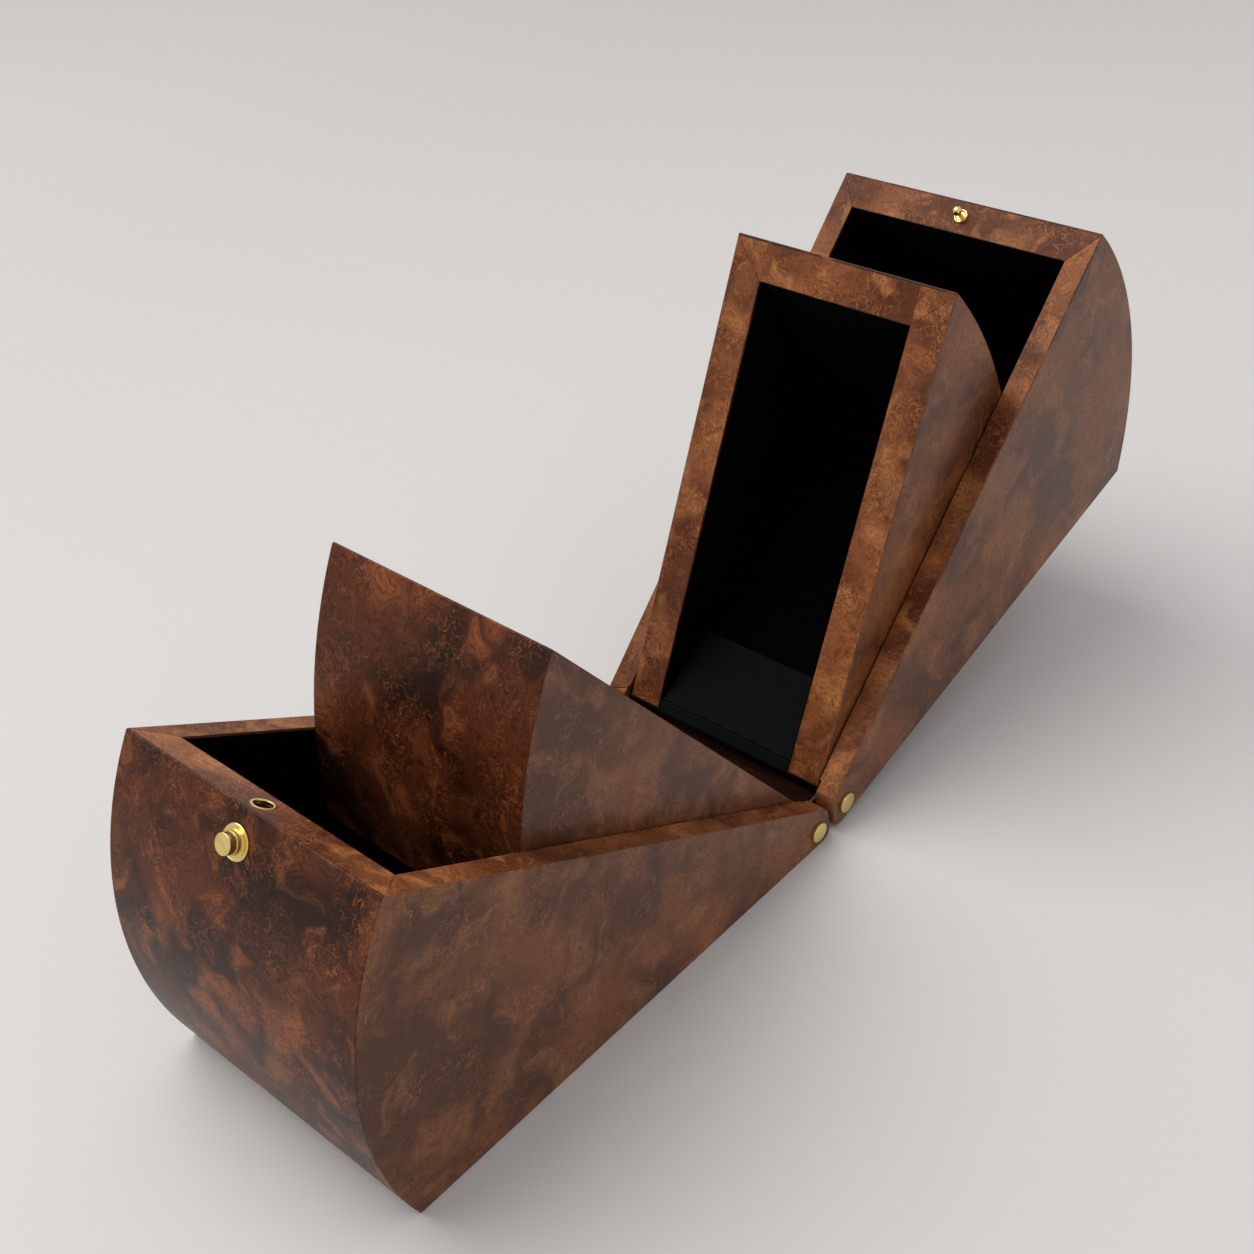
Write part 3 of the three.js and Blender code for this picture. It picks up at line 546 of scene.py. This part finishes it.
def make_panels(prefix, form, place, first_sheet, butted):
    """The five panels of a shell or an inner box. Where the rim's strips are butted, those of the
    sides run through to both ends, and otherwise they are mitred."""
    made = {}
    for label, side in both_sides:
        made[f"{label}_side"] = side_panel(
            f"{prefix}_{label}_side_veneered", form, place, side, first_sheet + side + 1)
    for label, pick, sheet, capped in (("front", front_stations, 3, True),
                                       ("back", back_stations, 4, False),
                                       ("hinge_end", end_stations, 5, True)):
        own = (1, first_sheet + sheet)
        sides = [(1, first_sheet), own, (1, first_sheet + 2)] if butted else [own] * 3
        made[label] = cross_panel(f"{prefix}_{label}_veneered", form, place, pick,
                                  first_sheet + sheet, sides if capped else None)
    for label, panel in made.items():
        for finish in (front_burl_with_painted_shade if label == "front" else side_burl, rim_burl, end_burl):
            panel.data.materials.append(finish)
    return made


def tool(place, rings, kind=0):
    """A closed solid to cut with, through rings of points in a wedge's own frame. Its kind is the
    veneer of the faces that it leaves."""
    verts, faces = bridge(rings)
    count = len(rings[0])
    faces += [tuple(range(count)), tuple(range(len(verts) - count, len(verts)))]
    bm = bmesh.new()
    points = [bm.verts.new(place @ Vector(v)) for v in verts]
    flat = bm.loops.layers.uv.new("veneer")
    for corners in faces:
        face = bm.faces.new([points[c] for c in corners])
        face.material_index = kind
        for loop, corner in zip(face.loops, corners):
            x, y, z = verts[corner]
            loop[flat].uv = (x + y, z)
    return outward_mesh(bm, "tool")


def slab_tool(place, outline, low, high, kind=0):
    """A tool of one outline in X and Z, from one Y to another."""
    return tool(place, [[(x, y, z) for x, z in outline] for y in (low, high)], kind)


def circle(centre, radius, steps=40):
    """Points round a circle."""
    return [tuple(Vector(centre) + along(2 * pi * step / steps) * radius) for step in range(steps)]


def aimed(spot, lean):
    """A place on the middle of the width, with its Z leaning from the wedge's X by an angle."""
    direction = Vector((cos(lean), 0, sin(lean)))
    turn = Matrix((direction.cross(Vector((0, 1, 0))) * -1, (0, 1, 0), direction)).transposed()
    return Matrix.Translation(Vector((spot[0], 0, spot[1]))) @ turn.to_4x4()


def rod_tool(place, radius, low, high):
    """A round tool along its place's Z."""
    return tool(place, [[(x, y, z) for x, y in circle((0, 0), radius)] for z in (low, high)])


def settle(piece, modifier):
    """Makes what a modifier gives the piece's plain mesh, and takes the modifier off."""
    evaluated = piece.evaluated_get(bpy.context.evaluated_depsgraph_get())
    mesh = bpy.data.meshes.new_from_object(evaluated)
    piece.modifiers.remove(modifier)
    piece.data = mesh


def cut(piece, tools):
    """Cuts the tools out of a piece, and leaves the result as its plain mesh."""
    for shape in tools:
        for material in piece.data.materials:
            shape.materials.append(material)
        knife = link_object("knife", shape)
        modifier = piece.modifiers.new("cut", "BOOLEAN")
        modifier.operation = "DIFFERENCE"
        modifier.solver = "MANIFOLD"
        modifier.object = knife
        settle(piece, modifier)
        bpy.data.objects.remove(knife)
    piece.data.name = piece.name
    piece.data.set_sharp_from_angle(angle=crease)


overrun = 0.004
open_half_angle = radians(52.3)
pin_bore_radius = 0.0026
rims_apart = 0.0006
plate_room = 0.0003
slot_steps = 12
link_length = 2 * -shell_pivot.z + rims_apart
link_half_width = 0.007
slot_depths = (0.0164, 0.0185)
end_opening_depth = 0.016


def link_slots(place):
    """The shallow sectors inside both sides that the link plates swing in."""
    spot = shell_pivot.xz
    opened = pi / 2 + open_half_angle
    wide = link_half_width + plate_room
    reach = link_length + link_half_width + overrun
    behind = [spot + along(opened + pi / 2 + (pi - open_half_angle) * step / slot_steps) * wide
              for step in range(slot_steps + 1)]
    outline = [tuple(p) for p in (
        *behind, spot + Vector((wide, reach)), spot + along((pi / 2 + opened) / 2) * reach,
        spot + along(opened + pi / 2) * wide + along(opened) * reach)]
    low, high = (depth - shell.half_width for depth in slot_depths)
    return {"near": slab_tool(place, outline, low, high), "far": slab_tool(place, outline, -high, -low)}


def pin_bore(place, side):
    """The hole through a side that a pivot pin sits in."""
    outer, inner = side * (shell.half_width + overrun), side * (shell.half_width - shell.side_wall - overrun)
    return slab_tool(place, circle(shell_pivot.xz, pin_bore_radius), outer, inner)


def end_opening(place):
    """The hinge end's opening between the sides, down to the rail that ties them."""
    reach = shell.half_width - shell.side_wall
    left, right = shell.back_start.x - overrun, shell.end_block
    return slab_tool(place, [(left, -end_opening_depth), (right, -end_opening_depth),
                             (right, overrun), (left, overrun)], -reach, reach, kind=2)


shells = {}
for name, sheet in (("left", 1), ("right", 11)):
    place = places[name]
    panels = make_panels(f"{name}_shell", shell, place, sheet, butted=False)
    for label, side in both_sides:
        cut(panels[f"{label}_side"], [pin_bore(place, side), link_slots(place)[label]])
    cut(panels["hinge_end"], [end_opening(place), *link_slots(place).values()])
    shells[name] = panels

# The latch's holes in the two fronts
# A ferrule hole in the left rim, over a pocket that takes the latch's housing from inside, a bore
# for the button's stem through the curved face, and a bore for the catch's shank in the right rim.

catch_setback = 0.0123
catch_along = rim_length - catch_setback
button_depth = 0.0211
button_lean = asin((front_drop - button_depth) / shell.front_radius)
button_spot = shell.front_centre + along(button_lean) * shell.front_radius
button_place = aimed(button_spot, button_lean)
catch_place = aimed((catch_along, 0), pi / 2)
stem_radius = 0.0024
neck_radius = 0.0017
catch_shank = 0.012
ferrule_radius = 0.0075
ferrule_sleeve = 0.0064
ferrule_flange = 0.001
sliding_fit = 0.0001
housing = SimpleNamespace(low=0.4249, high=0.4442, half_width=0.0086, depth=0.0285, top=0.0029,
                          room=0.0003)

pocket = [(housing.low - shell.front_wall, -housing.depth - housing.room),
          (housing.high + housing.room, -housing.depth - housing.room),
          (housing.high + housing.room, housing.room - housing.top),
          (housing.low - shell.front_wall, housing.room - housing.top)]
pocket_reach = housing.half_width + housing.room
cut(shells["left"]["front"], [
    slab_tool(places["left"], pocket, -pocket_reach, pocket_reach),
    rod_tool(places["left"] @ catch_place, ferrule_sleeve + sliding_fit, -housing.depth / 2, overrun),
    rod_tool(places["left"] @ catch_place, ferrule_radius + sliding_fit, -ferrule_flange, overrun),
    rod_tool(places["left"] @ button_place, stem_radius + housing.room, -shell.front_wall / 2, overrun)])
cut(shells["right"]["front"], [
    rod_tool(places["right"] @ catch_place, neck_radius + sliding_fit, -catch_shank - housing.room,
             overrun)])

for name, panels in shells.items():
    for label, panel in panels.items():
        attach(panel, f"{name}_shell")
        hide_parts(f"{name}_shell_{label}")

# The two inner boxes
# Smaller wedges of the same make, which swing out of the shells on the same pins to lift what
# they hold. Their rims are faced with butted strips, and their hinge ends are wedge-shaped blocks.

side_gap = 0.00145
back_gap = 0.0012
inner_setback = 0.0859
inner = wedge_form(
    half_width=shell.half_width - shell.side_wall - side_gap, side_wall=0.0272, front_wall=0.0248,
    back_wall=0.0085, end_wall=0.0054, end_block=0.0755, rim_rounding=0.0022, back_rounding=0.0032,
    front_radius=0.3537, hairline=0.00001, bare_ends=True)
inner_rim_length = rim_length - inner_setback
inner_centre_rise = 0.1267
inner_pivot = Vector((-0.0047, 0, -0.0108))
inner_lift = radians(20.8)
board = 0.0015
seam_gap = 0.0003
lining_drop = 0.0015
back_inset = shell.back_wall + seam_gap + board + back_gap
nested = shell_pivot - inner_pivot
back_point = shell.back_start + along(pi / 2 + shell.back_angle) * back_inset - nested.xz
inner.back_start = meet(back_point, along(inner.back_angle), Vector((0, 0)), along(inner.end_angle))
inner.front_centre = Vector((
    inner_rim_length - sqrt(inner.front_radius ** 2 - inner_centre_rise ** 2), inner_centre_rise))

places["left_inner"] = stand(left_pivot, inner_pivot, left_rim_angle - inner_lift, -1)
places["right_inner"] = stand(right_pivot, inner_pivot, right_rim_angle + inner_lift, 1)

leaf = SimpleNamespace(face=0.0185, thickness=0.0015, half_width=0.005, length=0.044,
                       angle=radians(-16), studs=(0.020, 0.034), stud_radius=0.0018, stud_length=0.008)
clip_face = 0.0203
clip_pocket_radius = 0.0056
clip_pocket_depth = 0.0219
stud_room = 0.0002
leaf_end_steps = 12
wrap_lap = 0.001
inner_bare = wedge(inner, **inner_faces(inner))
floor_top = Vector((inner_bare.rim_corner[0].x, -lining_drop - seam_gap - board))
floor_foot = inner_bare.seam - inner_bare.back_direction * seam_gap
floor_direction = (floor_foot - floor_top).normalized()
floor_rise = Vector((-floor_direction.y, floor_direction.x))
core_reach = inner.half_width - inner.side_wall


def hinge_cuts(place, side):
    """The recess of a hinge leaf with its studs' bores, and the pocket for the pin's clip."""
    spot = inner_pivot.xz
    wide = leaf.half_width + seam_gap
    tip = spot + along(leaf.angle) * leaf.length
    outline = [tuple(middle + along(leaf.angle + start + pi * step / leaf_end_steps) * wide)
               for middle, start in ((spot, pi / 2), (tip, -pi / 2))
               for step in range(leaf_end_steps + 1)]

    def through(shape, near, deep):
        return slab_tool(place, shape, side * (shell.half_width - near), side * (shell.half_width - deep))

    stud_ends = (leaf.face + leaf.thickness / 2,
                 leaf.face + leaf.thickness + leaf.stud_length + stud_room)
    return [through(outline, leaf.face - overrun, clip_face),
            through(circle(spot, clip_pocket_radius), leaf.face - overrun, clip_pocket_depth),
            *(through(circle(spot + along(leaf.angle) * reach, leaf.stud_radius + stud_room), *stud_ends)
              for reach in leaf.studs)]


def wrap_opening(place):
    """Where the wrapped end goes: from the rim down past the back corner, between the sides."""
    left, right = inner.back_start.x - 2 * overrun, floor_top.x + wrap_lap
    heel, inside = wedge(inner).back_corner[-1], inner_bare.back_corner[-1]
    slant = (inside - heel).normalized()
    low = heel + inner_bare.back_direction * seam_gap / 2 - slant * overrun
    high = inside + inner_bare.back_direction * seam_gap / 2 + slant * wrap_lap
    return slab_tool(place, [(left, low.y), tuple(low), tuple(high), (right, high.y),
                             (right, overrun), (left, overrun)], -core_reach, core_reach)


for name, sheet in (("left", 21), ("right", 31)):
    place = places[f"{name}_inner"]
    panels = make_panels(f"{name}_inner", inner, place, sheet, butted=True)
    for label, side in both_sides:
        cut(panels[f"{label}_side"], hinge_cuts(place, side))
    cut(panels["hinge_end"], [wrap_opening(place), *hinge_cuts(place, -1), *hinge_cuts(place, 1)])
    for label, panel in panels.items():
        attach(panel, f"{name}_inner_box")
        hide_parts(f"{name}_inner_{label}")

# The velvet linings
# Thin boards wrapped in black flocked velvet, glued inside every wall, a little below the rim. The
# nap drinks the light. An inner box's thinly padded floor and its whole hinge end are wrapped in a
# felt that is slightly greyer: its grey is partly its own and partly painted light, standing for
# the light that falls in on the floor and the hinge end.

brushed_size = 0.05


def napped(name, low, high, nap_size, fuzz):
    """Cloth with a short nap: nearly black, uneven where it is brushed, with a faint bloom. The
    fibres are really 0.02 mm thick, and are drawn in tufts as coarse as they need to show."""
    material, tree, surface = new_material(name)
    place = add(tree, "ShaderNodeTexCoord").outputs["Object"]
    brushed = noise(tree, place, brushed_size, 3)["Fac"]
    fill(tree, surface, Base_Color=blend(tree, brushed, low, high), Roughness=1,
         Specular_IOR_Level=0.03, Sheen_Weight=fuzz, Sheen_Roughness=0.4,
         Sheen_Tint=colour("9aa4a8"))
    bump(tree, surface, noise(tree, place, nap_size, 2)["Fac"], 0.5, 0.0004)
    return material


velvet = napped("black flocked velvet", "020203", "060708", 0.0008, 0.02)
# Painted light: the felt is lighter than the velvet partly to stand for light falling on the pad.
felt_with_painted_light = napped("charcoal pressed felt", "111414", "191c1c", 0.0012, 0.03)

fold = radians(20)
hard_edge = radians(60)
board_edge = 0.0005
felt_edge = 0.0006
wrap_inset = 0.0002
wrap_gap = 0.0001


def lined_board(name, place, outline, low, high, softness, cloth, body, nodes):
    """A board with softly wrapped edges, of one outline in X and Z, from one Y to another, which
    stands for the nodes that it replaces."""
    bm = bmesh.new()
    count = len(outline)
    verts, faces = bridge([[(x, y, z) for x, z in outline] for y in (low, high)])
    points = [bm.verts.new(place @ Vector(v)) for v in verts]
    for corners in faces + [tuple(range(count)), tuple(range(count, 2 * count))]:
        bm.faces.new([points[c] for c in corners])
    bmesh.ops.recalc_face_normals(bm, faces=bm.faces)
    sharp = [edge for edge in bm.edges if edge.calc_face_angle() > fold]
    bmesh.ops.bevel(bm, geom=sharp, offset=softness, segments=3, affect="EDGES", profile=0.5)
    for face in bm.faces:
        face.smooth = True
    mesh = outward_mesh(bm, name)
    mesh.set_sharp_from_angle(angle=hard_edge)
    mesh.materials.append(cloth)
    piece = link_object(name, mesh)
    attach(piece, body)
    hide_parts(*nodes)
    return piece


def front_board(form):
    """The outline of the board on a curved front."""
    low, high = (wedge(form, rim=lining_drop, **inner_faces(form, extra)).bare_front
                 for extra in (seam_gap, seam_gap + board))
    return [tuple(p) for p in (*low, *reversed(high))]


def back_board(form, start):
    """The outline of the board on a back, from a place along it to the front's board."""
    low, high = (wedge(form, **inner_faces(form, extra)) for extra in (seam_gap, seam_gap + board))
    toes = [wedge(form, **{**inner_faces(form), "back": form.back_wall + extra,
                           "front": form.front_wall + seam_gap + board + wrap_gap}).bare_front[0]
            for extra in (seam_gap, seam_gap + board)]
    return [tuple(p) for p in (low.seam + low.back_direction * start, *toes,
                               high.seam + low.back_direction * start)]


def line_walls(prefix, place, body, form, outline, face, thickness, side_edge, reach, start):
    """The boards on the two sides, the front and the back of a shell or an inner box."""
    for label, side in both_sides:
        lined_board(f"{prefix}_{label}_velvet", place, outline, side * face,
                    side * (face - thickness), side_edge, velvet, body, [f"{prefix}_{label}_lining"])
    for label, shape in (("front", front_board(form)), ("back", back_board(form, start))):
        lined_board(f"{prefix}_{label}_velvet", place, shape, -reach, reach, board_edge, velvet,
                    body, [f"{prefix}_{label}_lining"])


flock = 0.0005
flock_edge = 0.00015
flock_start = 0.096
shell_lined = wedge(shell, rim=lining_drop, **inner_faces(shell, seam_gap))
flock_low = (shell.back_start + along(shell.back_angle + pi / 2) * (shell.back_wall + seam_gap)
             + along(shell.back_angle) * flock_start)
shell_reach = shell.half_width - shell.side_wall - flock - 2 * seam_gap
flock_face = shell.half_width - shell.side_wall - seam_gap
side_outline = [(flock_low.x, -lining_drop), tuple(flock_low), *map(tuple, shell_lined.bare_front)]
for name in ("left", "right"):
    line_walls(f"{name}_shell", places[name], f"{name}_shell", shell, side_outline, flock_face,
               flock, flock_edge, shell_reach, flock_start - shell.end_block)

inner_lined = wedge(inner, rim=lining_drop, **inner_faces(inner, seam_gap))
inner_reach = core_reach - 2 * seam_gap - board
side_face = core_reach - seam_gap
floor_space = seam_gap + board
padding = 0.0016
side_outline = [tuple(p) for p in (
    Vector((floor_top.x + floor_space, -lining_drop)),
    floor_top + floor_direction * floor_space + floor_rise * seam_gap,
    inner_lined.seam + inner_lined.back_direction * seam_gap, *inner_lined.bare_front)]
low, high = (wedge(inner, **inner_faces(inner, extra)) for extra in (seam_gap, floor_space))
tuck = low.back_direction * (floor_space - seam_gap)
crown = [floor_top.lerp(floor_foot, share)
         + floor_rise * (floor_space + padding * share * (1 - share)) for share in (0.8, 0.6, 0.4, 0.2)]
floor_outline = [tuple(p) for p in (
    floor_top + floor_direction * seam_gap + floor_rise * seam_gap,
    floor_foot - floor_direction * seam_gap + floor_rise * seam_gap,
    low.seam + tuck, high.seam + tuck, *crown,
    floor_top + floor_direction * seam_gap + floor_rise * floor_space)]


def end_line(depth, inset):
    """The point at a depth below the rim on the hinge end's face, set in by some."""
    start = along(inner.end_angle + pi / 2) * inset
    return meet(Vector((0, -depth)), Vector((1, 0)), start, along(inner.end_angle))


behind = wedge(inner, **inner_faces(inner, wrap_gap))
heel = wedge(inner, end=wrap_inset, back=wrap_inset).back_corner
wrap_outline = [tuple(p) for p in (
    end_line(lining_drop, wrap_inset), Vector((floor_top.x - wrap_gap, -lining_drop)),
    floor_top - Vector((wrap_gap, 0)), behind.seam - behind.back_direction * seam_gap,
    behind.back_corner[-1], *reversed(heel))]
for name in ("left", "right"):
    place, body, prefix = places[f"{name}_inner"], f"{name}_inner_box", f"{name}_inner"
    line_walls(prefix, place, body, inner, side_outline, side_face, board, board_edge, inner_reach,
               floor_space - wrap_inset)
    pad = lined_board(f"{prefix}_floor_cushion", place, floor_outline, -inner_reach, inner_reach,
                      board_edge, felt_with_painted_light, body, [f"{prefix}_floor_pad"])
    lined_board(f"{prefix}_end_wrap", place, wrap_outline, wrap_gap - core_reach,
                core_reach - wrap_gap, felt_edge, felt_with_painted_light, body, [f"{prefix}_hinge_end"])

# Brass fittings
# The push button in its escutcheon, the ferrule, and the catch with its ball and dished collar.
# They are turned from brass bar and polished, so each shows faint rings round its own axis, a
# quarter of a millimetre apart, that are a little paler or darker and break up the reflections.

ring_spacing = 0.00025
streaks_round = 2
brass, tree, surface = new_material("polished turned brass")
place = add(tree, "ShaderNodeUVMap", uv_map="turning").outputs[0]
rings = add(tree, "ShaderNodeVectorMath", {0: place, 1: (streaks_round, 1 / ring_spacing, 1)},
            operation="MULTIPLY")
rings = noise(tree, rings.outputs[0], 1, 3)["Fac"]
fill(tree, surface, Base_Color=blend(tree, rings, "dfbd62", "f6e3a0"), Metallic=1,
     Roughness=spread(tree, rings, 0, 1, 0.3, 0.1, smooth=False))
bump(tree, surface, rings, 0.08, 0.0001)

lathe_crease = radians(40)
bead_steps = 5


def turned(name, place, profile, closed=False, steps=72):
    """A piece turned round its place's Z: radii and heights, each with the radius of its corner."""
    points = [Vector(corner[:2]) for corner in profile]
    drawn = []
    for index, corner in enumerate(profile):
        if len(corner) == 2:
            drawn.append(points[index])
        else:
            after = points[(index + 1) % len(points)]
            drawn += round_corner(points[index - 1], points[index], after, corner[2], bead_steps)
    run = [0]
    for before, after in zip(drawn, drawn[1:] + drawn[:1]):
        run.append(run[-1] + (after - before).length)
    bm = bmesh.new()
    flat = bm.loops.layers.uv.new("turning")
    turns = [2 * pi * step / steps for step in range(steps)]
    circles = [[bm.verts.new(place @ Vector((p.x * cos(t), p.x * sin(t), p.y))) for p in drawn]
               for t in turns]
    for step in range(steps):
        for low in range(len(drawn) if closed else len(drawn) - 1):
            corners = ((step, low), (step, low + 1), (step + 1, low + 1), (step + 1, low))
            face = bm.faces.new([circles[s % steps][p % len(drawn)] for s, p in corners])
            face.smooth = True
            for loop, (s, p) in zip(face.loops, corners):
                loop[flat].uv = (s / steps, run[p])
    bmesh.ops.remove_doubles(bm, verts=bm.verts, dist=1e-7)
    mesh = outward_mesh(bm, name)
    mesh.set_sharp_from_angle(angle=lathe_crease)
    mesh.materials.append(brass)
    return link_object(name, mesh)


def fit_brass(piece, body, *nodes):
    """Puts a brass piece on its body, in place of its nodes."""
    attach(piece, body)
    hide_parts(*nodes)


# Each profile lists a radius, a height and, where the corner is rounded, its rounding, and starts
# at the axis or the bore.
seat = 0.0002
break_edge = 0.0001
knob_radius = 0.0065
knob_height = 0.0097
dish_depth = 0.0003
flange_radius = 0.0108
flange_height = 0.0017
collar_height = 0.0049
button_travel = 0.002
knob_foot = flange_height + housing.room + button_travel
slide_face = 0.4425
stem_end = slide_face + housing.room - button_spot.x
fit_brass(turned("escutcheon_turned", places["left"] @ button_place, [
    (stem_radius + sliding_fit, seat), (flange_radius, seat, break_edge),
    (flange_radius, 0.0010, 0.0003), (flange_radius - 0.0006, flange_height, 0.0005),
    (0.0096, 0.0013), (0.0074, 0.0014, 0.0004), (0.0070, collar_height, 0.0003),
    (knob_radius + sliding_fit, collar_height, break_edge),
    (knob_radius + sliding_fit, flange_height), (stem_radius + sliding_fit, flange_height)],
    closed=True), "left_shell", "button_escutcheon")
fit_brass(turned("button_turned", places["left"] @ button_place, [
    (0, stem_end), (stem_radius, stem_end), (stem_radius, knob_foot), (knob_radius, knob_foot),
    (knob_radius, knob_height, 0.0005), (knob_radius - 0.0014, knob_height - 0.0001),
    (knob_radius - 0.0017, knob_height - dish_depth), (0, knob_height - dish_depth)]),
    "latch_button", "push_button")
ferrule_bore = 0.0056
ferrule_depth = 0.0024
ferrule_lip = 0.0008
fit_brass(turned("ferrule_turned", places["left"] @ catch_place, [
    (ferrule_bore, -ferrule_depth), (ferrule_sleeve, -ferrule_depth), (ferrule_sleeve, -ferrule_lip),
    (ferrule_radius, -ferrule_lip), (ferrule_radius, 0.0001, break_edge), (0.0068, seat, 0.0002),
    (ferrule_bore, seat, 0.0004)], closed=True), "left_shell", "latch_ferrule")

ball_radius = 0.0035
ball_height = 0.0092
ball_steps = 24
neck_turn = asin(neck_radius / ball_radius)
ball_turns = [neck_turn - pi / 2 + (pi - neck_turn) * step / ball_steps for step in range(ball_steps)]
ball = [tuple(Vector((0, ball_height)) + along(t) * ball_radius) for t in ball_turns]
fit_brass(turned("catch_turned", places["right"] @ catch_place, [
    (0, -catch_shank), (neck_radius, -catch_shank), *ball, (0, ball_height + ball_radius)]),
    "right_shell", "catch_pin")
collar_radius = 0.0052
collar_rise = 0.0017
collar_floor = 0.0007
fit_brass(turned("catch_collar_turned", places["right"] @ catch_place, [
    (neck_radius + sliding_fit, seat), (collar_radius, seat, break_edge),
    (collar_radius, collar_rise, 0.0004), (0.0044, collar_rise, 0.0003), (0.0034, collar_floor),
    (neck_radius + sliding_fit, collar_floor)], closed=True), "right_shell", "catch_collar")

# The pivot pins
# Two stout pins with flat round heads carry each shell, one through either side, and hold the link
# plates, the inner box's leaves and a clip. The same pin goes in from the other side, turned round.

pin_tree = bpy.data.node_groups.new("a pin in each side", "GeometryNodeTree")
for label, kind in (("Pin", "NodeSocketGeometry"), ("Axis", "NodeSocketVector"),
                    ("Width", "NodeSocketFloat"), ("Finish", "NodeSocketMaterial")):
    pin_tree.interface.new_socket(label, in_out="INPUT", socket_type=kind)
pin_tree.interface.new_socket("Pins", in_out="OUTPUT", socket_type="NodeSocketGeometry")
given = add(pin_tree, "NodeGroupInput").outputs
span = add(pin_tree, "ShaderNodeCombineXYZ", {"Y": given["Width"]})
near = add(pin_tree, "ShaderNodeVectorMath",
           {0: span.outputs[0], 1: (-0.5, -0.5, -0.5), 2: given["Axis"]}, operation="MULTIPLY_ADD")
spots = add(pin_tree, "GeometryNodeMeshLine", {"Count": 2, "Start Location": near.outputs[0],
                                               "Offset": span.outputs[0]})
index = add(pin_tree, "GeometryNodeInputIndex")
turn = add(pin_tree, "ShaderNodeCombineXYZ", {"Z": maths(pin_tree, "MULTIPLY", index.outputs[0], pi)})
turn = add(pin_tree, "FunctionNodeEulerToRotation", {0: turn.outputs[0]})
pins = add(pin_tree, "GeometryNodeInstanceOnPoints",
           {"Points": spots.outputs[0], "Instance": given["Pin"], "Rotation": turn.outputs[0]})
pins = add(pin_tree, "GeometryNodeRealizeInstances", {0: pins.outputs[0]})
pins = add(pin_tree, "GeometryNodeSetMaterial",
           {"Geometry": pins.outputs[0], "Material": given["Finish"]})
add(pin_tree, "NodeGroupOutput", {0: pins.outputs[0]})

pin_radius = 0.0025
pin_end = 0.0216
pin_chamfer = 0.0004
head_radius = 0.0078
head_height = 0.0028
head_flat = 0.0055
head_slope = 0.0067
head_crown = 0.00008
head_edge = 0.0002
facing_in = Matrix.Rotation(-pi / 2, 4, "X")
for name, pivot in (("left", left_pivot), ("right", right_pivot)):
    piece = turned(f"{name}_pivot_pins_turned", facing_in, [
        (0, -head_height), (head_flat, -head_height), (head_slope, head_crown - head_height),
        (head_radius, head_edge - head_height, pin_chamfer), (head_radius, -seat, head_edge),
        (pin_radius, -seat), (pin_radius, pin_end, pin_chamfer), (0, pin_end)])
    modifier = piece.modifiers.new("pins", "NODES")
    modifier.node_group = pin_tree
    sockets = {item.name: item.identifier for item in pin_tree.interface.items_tree
               if item.in_out == "INPUT"}
    modifier[sockets["Axis"]] = pivot
    modifier[sockets["Width"]] = 2 * shell.half_width
    modifier[sockets["Finish"]] = brass
    settle(piece, modifier)
    fit_brass(piece, f"{name}_shell", f"{name}_near_pivot_pin", f"{name}_far_pivot_pin")

# Hidden metal
# The links, leaves and clips of the hinge and the latch's slide, housing and spring are stamped or
# bent from steel and blackened, so the little that shows in gaps and in the ferrule is dark.

grit = 0.0007
blackened, tree, surface = new_material("blackened sheet steel")
place = add(tree, "ShaderNodeTexCoord").outputs["Object"]
brush = noise(tree, place, grit, 3)["Fac"]
fill(tree, surface, Base_Color=blend(tree, brush, "453a33", "5e5047"), Metallic=1,
     Roughness=spread(tree, brush, 0, 1, 0.6, 0.4, smooth=False))

for name, node in frame["nodes"].items():
    if name.endswith(("clip", "leaf", "link_plate", "slide", "housing", "spring")):
        for slot in node.material_slots:
            slot.material = blackened
